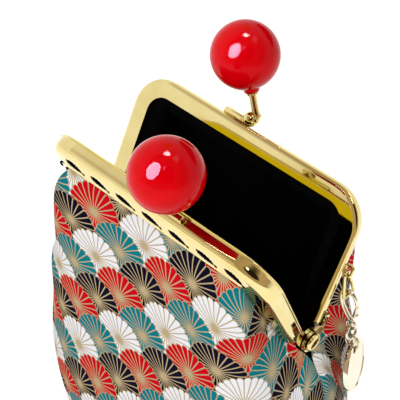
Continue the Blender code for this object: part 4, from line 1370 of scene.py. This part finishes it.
tip = EYE_ROOT + EYE_REACH
eye_line = [in_half(-x, h, EYE_DEPTH) for x, h in (
    (EYE_ROOT, EYE_HEIGHT + EYE_LENGTH), (tip, EYE_HEIGHT + EYE_LENGTH), (tip, EYE_HEIGHT),
    (EYE_ROOT, EYE_HEIGHT))]
eye = bent_wire("charm_eye_wire", rounded_corners(eye_line), WIRE, closed=True)
finish(eye, "back_half", "charm_eye", GOLD, LEAN_BACK, 60.0)

# %% Triangle
TOP_TURN = 72
TOP_STEPS = 14
TRIANGLE_HALF_WIDTH = 2.1 * MM
triangle_line = []
for k in range(TOP_STEPS + 1):
    turn = math.radians(-TOP_TURN + 2 * TOP_TURN * k / TOP_STEPS)
    triangle_line.append(Vector((0.0, HANG * math.sin(turn), HANG * math.cos(turn))))
for side in (1.0, -1.0):
    corner = Vector((0.0, side * TRIANGLE_HALF_WIDTH, TRIANGLE_BASE))
    arc = [corner + Vector((0.0, -side * BEND_RADIUS * share ** 2, BEND_RADIUS * (1 - share) ** 2))
           for share in (0.0, 0.2, 0.4, 0.6, 0.8, 1.0)]
    triangle_line += arc if side > 0 else arc[::-1]
triangle = bent_wire("charm_triangle_wire", triangle_line, WIRE, closed=True)
finish(triangle, "triangle", "charm_triangle", GOLD, HOOK, 60.0)

# %% [markdown]
# The clasp is a cast hook with a wire-like body, thicker at its back, and an eyelet below. Its
# gate is a separate lever with a thumb knob, turning about its lower end. Both follow one
# teardrop, on which an angle of 0 is the bottom and 180 the top.

# %% Clasp and gate
GATE_WIRE = 0.5 * MM
KNOB_RADIUS = 0.55 * MM
KNOB_OUT = Vector((0.75 * MM, 0.0, 0.0))
TEARDROP_WIDTH = CLASP_WIDTH * 0.6


def teardrop(degrees):
    turn = math.radians(degrees)
    half = CLASP_LENGTH / 2
    up = CLASP_BOTTOM + half - half * math.cos(turn)
    across = TEARDROP_WIDTH * math.sin(turn) * abs(math.sin(turn / 2)) ** 0.8
    return Vector((across, 0.0, up))


def teardrop_wire(name, start, end, steps, radius, thin, swell):
    """A wire along part of the teardrop, `thin` at its ends and fatter by `swell` midway."""
    points = [teardrop(start + (end - start) * k / steps) for k in range(steps + 1)]
    sizes = [thin + swell * math.sin(math.pi * k / steps) for k in range(steps + 1)]
    return bent_wire(name, points, radius, sizes=sizes)


def wire_ring(name, radius, middle, turn, segments):
    deselect()
    bpy.ops.mesh.primitive_torus_add(major_radius=radius, minor_radius=WIRE, minor_segments=16,
                                     major_segments=segments, rotation=turn,
                                     location=(0, 0, middle))
    ring = named(name)
    set_place(ring)
    return ring


FACING_Y = (math.pi / 2, 0, 0)
FACING_X = (0, math.pi / 2, 0)
clasp = teardrop_wire("charm_clasp_body", 104, 396, 60, CLASP_WIRE, 0.82, 0.3)
combine(clasp, wire_ring("eyelet", EYELET_RADIUS, EYELET_MIDDLE, FACING_Y, 48))
finish(clasp, "clasp", "charm_clasp", PALE_GOLD, HOOK, 50.0)

gate = teardrop_wire("charm_clasp_lever", 48, 94, 16, GATE_WIRE, 1.0, 0.25)
deselect()
bpy.ops.mesh.primitive_uv_sphere_add(segments=24, ring_count=12, radius=KNOB_RADIUS,
                                     location=teardrop(60) + KNOB_OUT)
knob = named("knob")
set_place(knob)
combine(gate, knob)
finish(gate, "gate", "charm_clasp_gate", PALE_GOLD, HOOK, 50.0)

# %% [markdown]
# Two rings of the same wire follow, a quarter turn apart, as links hang in each other.

# %% Rings
for ring_name, radius, middle, turn in (
        ("upper", UPPER_RING, UPPER_RING_MIDDLE, FACING_X),
        ("lower", LOWER_RING, LOWER_RING_MIDDLE, FACING_Y)):
    ring = wire_ring("charm_" + ring_name + "_ring_wire", radius, middle, turn, 64)
    finish(ring, ring_name + "_ring", "charm_" + ring_name + "_ring", PALE_GOLD, HOOK, 60.0)

# %% [markdown]
# The tag is struck from thick sheet, with a raised rim on both sides. Its middle is left plain.
# The hole is placed so that its top edge hangs on the lower ring with a hair's play.

# %% Tag
TAG_RADIUS = 7.9 * MM
TAG_THICK = 1.6 * MM
RING_INSIDE = LOWER_RING - WIRE
RING_RISE = RING_INSIDE - math.sqrt(RING_INSIDE ** 2 - (TAG_THICK / 2) ** 2)
HOLE_TOP = LOWER_RING_MIDDLE - RING_INSIDE + RING_RISE + LINK_GAP
HOLE_RADIUS = 1.3 * MM
HOLE_MARGIN = 1.0 * MM
TAG_MIDDLE = HOLE_TOP + HOLE_MARGIN - TAG_RADIUS
TAG_FACING = Matrix.Rotation(math.radians(20.0), 4, "Z") @ Matrix.Rotation(math.pi / 2, 4, "Y")
TAG_INSETS = ((0.9, 0.0), (0.22, -0.22), (4.0, 0.0), (1.4, 0.04))


def tag_disc():
    deselect()
    bpy.ops.mesh.primitive_cylinder_add(vertices=96, radius=TAG_RADIUS, depth=TAG_THICK)
    made = named("charm_tag_disc")
    bpy.ops.object.mode_set(mode="EDIT")
    select_where("faces", lambda face: abs(face.normal.z) > 0.9)
    for thickness, height in TAG_INSETS:
        bpy.ops.mesh.inset(use_individual=True, thickness=thickness * MM, depth=height * MM)
    bpy.ops.object.mode_set(mode="OBJECT")
    add_modifier(made, "BEVEL", width=0.2 * MM, segments=3, limit_method="ANGLE",
                 angle_limit=math.radians(60))
    apply_all(made)
    return made


tag = tag_disc()
set_place(tag, Matrix.Translation((0, 0, TAG_MIDDLE)) @ TAG_FACING)
hole_place = Matrix.Translation((0, 0, HOLE_TOP - HOLE_RADIUS)) @ TAG_FACING
combine(tag, drill("tag_hole", HOLE_RADIUS, TAG_THICK * 3, [hole_place]), "DIFFERENCE")
finish(tag, "tag", "charm_tag", PALE_GOLD, HOOK, 40.0)

# %% [markdown]
# ## Studio
# The camera stands where the photo was taken from, above the front right corner and looking
# down at 42 degrees. Its focal length was fitted in pixels of a picture 400 pixels wide. The
# direction from the purse to the camera, and the right and up of the picture, serve the
# lamps as well.

# %% Camera
AZIMUTH, ELEVATION, ROLL = (math.radians(a) for a in (41.414, 42.195, 2.944))
DISTANCE = 0.342581
TARGET = MIDDLE @ Vector((0.000858, -0.002418, 0.02732 + HINGE_HEIGHT))
LENS_PIXELS = 1232.078
PICTURE_PIXELS = 400.0
SENSOR = 36.0
TO_CAMERA = Vector((math.sin(AZIMUTH) * math.cos(ELEVATION),
                    -math.cos(AZIMUTH) * math.cos(ELEVATION), math.sin(ELEVATION)))
level_right = (-TO_CAMERA).cross(Vector((0, 0, 1))).normalized()
level_up = level_right.cross(-TO_CAMERA)
PICTURE_RIGHT = level_right * math.cos(ROLL) + level_up * math.sin(ROLL)
PICTURE_UP = level_up * math.cos(ROLL) - level_right * math.sin(ROLL)
camera_data = bpy.data.cameras.new("camera")
camera_data.lens = LENS_PIXELS * SENSOR / PICTURE_PIXELS
camera_data.sensor_width = SENSOR
camera_data.clip_start = 0.01
camera = bpy.data.objects.new("camera", camera_data)
bpy.context.scene.collection.objects.link(camera)
turned = Matrix((PICTURE_RIGHT, PICTURE_UP, TO_CAMERA)).transposed().to_4x4()
camera.matrix_world = Matrix.Translation(TARGET + TO_CAMERA * DISTANCE) @ turned
bpy.context.scene.camera = camera
print("lens of", round(camera_data.lens, 1), "mm")

# %% [markdown]
# Two soft lamps light everything, one like a window on the left and a fill from the right, and
# neither is seen in gloss. A faint glint is seen in gloss alone. Three more lamps reach only the
# balls. Two of them are seen in the lacquer and light nothing: a tall oval window on the left of
# each ball and a small round spot above its middle. They are placed by the spot of the ball
# that should mirror them. The third lightens the balls' left sides.

# %% Lamps
shone_on = bpy.data.collections.new("shone_on")
for ball_name in ("front_ball_gloss", "back_ball_gloss"):
    shone_on.objects.link(bpy.data.objects[ball_name])


def lamp(name, direction, distance, size, power, lights=True, shines=True, only=None,
         tint=(1.0, 1.0, 1.0)):
    """An oval lamp facing the purse: its distance, width and height in metres, power in watts."""
    data = bpy.data.lights.new(name, "AREA")
    data.shape = "ELLIPSE"
    data.size, data.size_y = size
    data.energy = power
    data.color = tint
    holder = bpy.data.objects.new(name, data)
    bpy.context.scene.collection.objects.link(holder)
    place = TARGET + direction.normalized() * distance
    facing = direction.to_track_quat("Z", "Y").to_matrix().to_4x4()
    holder.matrix_world = Matrix.Translation(place) @ facing
    holder.visible_diffuse = lights
    holder.visible_glossy = shines
    if only:
        holder.light_linking.receiver_collection = only


def mirrored(right_share, up_share):
    """The direction that a ball mirrors at a spot of its disc, given as shares of its radius."""
    toward = math.sqrt(max(0.0, 1.0 - right_share ** 2 - up_share ** 2))
    normal = PICTURE_RIGHT * right_share + PICTURE_UP * up_share + TO_CAMERA * toward
    return normal * (2.0 * normal.dot(TO_CAMERA)) - TO_CAMERA


FILL_WAY = Vector((0.9, -0.5, 0.9))
GLINT_WAY = TO_CAMERA * 0.95 + level_up * 0.3 - level_right * 0.1
SIDE_WAY = TO_CAMERA * 0.65 - PICTURE_RIGHT * 0.7 + PICTURE_UP * 0.25
lamp("window_light", mirrored(-0.30, 0.06), 1.0, (0.34, 0.46), 3.0, shines=False)
lamp("window_shine", mirrored(-0.31, 0.09), 1.0, (0.64, 0.90), 125.0, lights=False,
     only=shone_on, tint=(1.0, 0.83, 1.2))
lamp("side_light", SIDE_WAY, 1.0, (0.4, 0.4), 3.2, shines=False, only=shone_on)
lamp("spot_shine", mirrored(0.02, 0.50), 1.2, (0.32, 0.32), 26.0, lights=False, only=shone_on)
lamp("fill", FILL_WAY, 1.4, (0.9, 0.9), 4.0, shines=False)
lamp("glint", GLINT_WAY, 1.3, (0.20, 0.30), 1.2, lights=False)
print(len(bpy.data.lights), "lamps")

# %% [markdown]
# The floor is pale and matt. It glows a little to the camera, so that it comes out white without
# more light on the purse, and it shows pale in gloss.

# %% Floor
FLOOR_SIZE = 6.0
FLOOR_DROP = 0.5 * MM
deselect()
bpy.ops.mesh.primitive_plane_add(size=FLOOR_SIZE, location=(0, 0, -FLOOR_DROP))
floor = named("floor")
ground = Paint("pale_floor", Roughness=0.8, Specular_IOR_Level=0.2, Emission_Strength=1.0)
grain = ground.noise(30.0, 2.0)
ground.feed(Base_Color=ground.mix(grain, (0.90, 0.90, 0.90, 1.0), (0.93, 0.93, 0.93, 1.0)))
glow = ground.mix(ground.ray("Is Camera Ray"), (0.0, 0.0, 0.0, 1.0), (0.5, 0.5, 0.5, 1.0))
in_gloss = ground.ray("Is Glossy Ray")
ground.feed(Emission_Color=ground.mix(in_gloss, glow, (0.8, 0.8, 0.8, 1.0)))
floor.data.materials.append(ground.material)
set_place(floor)

# %% [markdown]
# The surround is plain white to the camera and as light on the purse. Only gloss sees a room
# in it, because polished gold shows little but what it mirrors. The room is white away from the
# camera, brown in a wide ring round it and nearly black where it stands. Four zones are laid
# over that: a mustard bench low on the left, a yellow board high behind on the left, a bright
# patch overhead and a dark doorway behind. They were set by trial, for the bands that the gold
# shows in the photo. A zone is a mask of soft edges in the X, Y and Z of the way a ray takes.

# %% Surround
world = bpy.data.worlds.new("surround")
bpy.context.scene.world = world
world.use_nodes = True


class Sky(Paint):
    """The surround's node tree, with the same arithmetic as a material."""

    def __init__(self, tree):
        self.tree = tree


def zone(*edges):
    """A mask from (wire, start, end) edges, which fall where the end lies below the start."""
    mask = 1.0
    for wire, start, end in edges:
        rise = wire.step(min(start, end), max(start, end))
        mask = mask * (rise if start < end else 1.0 - rise)
    return mask


WHITE_WALL = (1.0, 1.0, 1.0, 1.0)
PALE_BROWN = (0.44, 0.34, 0.24, 1.0)
BROWN = (0.52, 0.40, 0.27, 1.0)
DARK = (0.02, 0.015, 0.01, 1.0)
MUSTARD = (0.62, 0.36, 0.006, 1.0)
YELLOW = (0.96, 0.93, 0.04, 1.0)
BRIGHT = (3.0, 3.0, 3.0, 1.0)
sky = Sky(world.node_tree)
way = sky.place("Generated")
toward = sky.node("ShaderNodeVectorMath", {"operation": "DOT_PRODUCT"}, {0: way, 1: TO_CAMERA},
                  "Value")
x, y, z = sky.parts(way, "XYZ")
room = sky.node("ShaderNodeValToRGB", {"stops": (
    (0.3, WHITE_WALL), (0.55, PALE_BROWN), (0.86, BROWN), (0.93, DARK))}, {"Fac": toward})
bench = zone((x, -0.53, -0.51), (x, -0.36, -0.4), (y, -0.6, -0.7), (z - x * 0.12, 0.118, 0.112))
board = zone((x, -0.62, -0.56), (x, -0.30, -0.36), (y, 0.30, 0.40), (y, 0.66, 0.60),
             (z, 0.5, 0.55))
overhead = zone((x, 0.10, 0.18), (y, 0.12, 0.20), (z, 0.84, 0.88))
doorway = zone((y, 0.84, 0.88), (z, 0.10, 0.16), (z, 0.52, 0.46))
for mask, shade in ((bench, MUSTARD), (board, YELLOW), (overhead, BRIGHT), (doorway, DARK)):
    room = sky.mix(mask, room, shade)
in_gloss = sky.ray("Is Glossy Ray")
colour = sky.mix(in_gloss, WHITE_WALL, room)
strength = sky.ray("Is Camera Ray") * 0.5 + in_gloss * 0.8 + 0.5
background = world.node_tree.nodes["Background"]
world.node_tree.links.new(colour.socket, background.inputs["Color"])
world.node_tree.links.new(strength.socket, background.inputs["Strength"])
bpy.context.scene.view_settings.view_transform = "Standard"
print("surround made of", len(world.node_tree.nodes), "nodes")
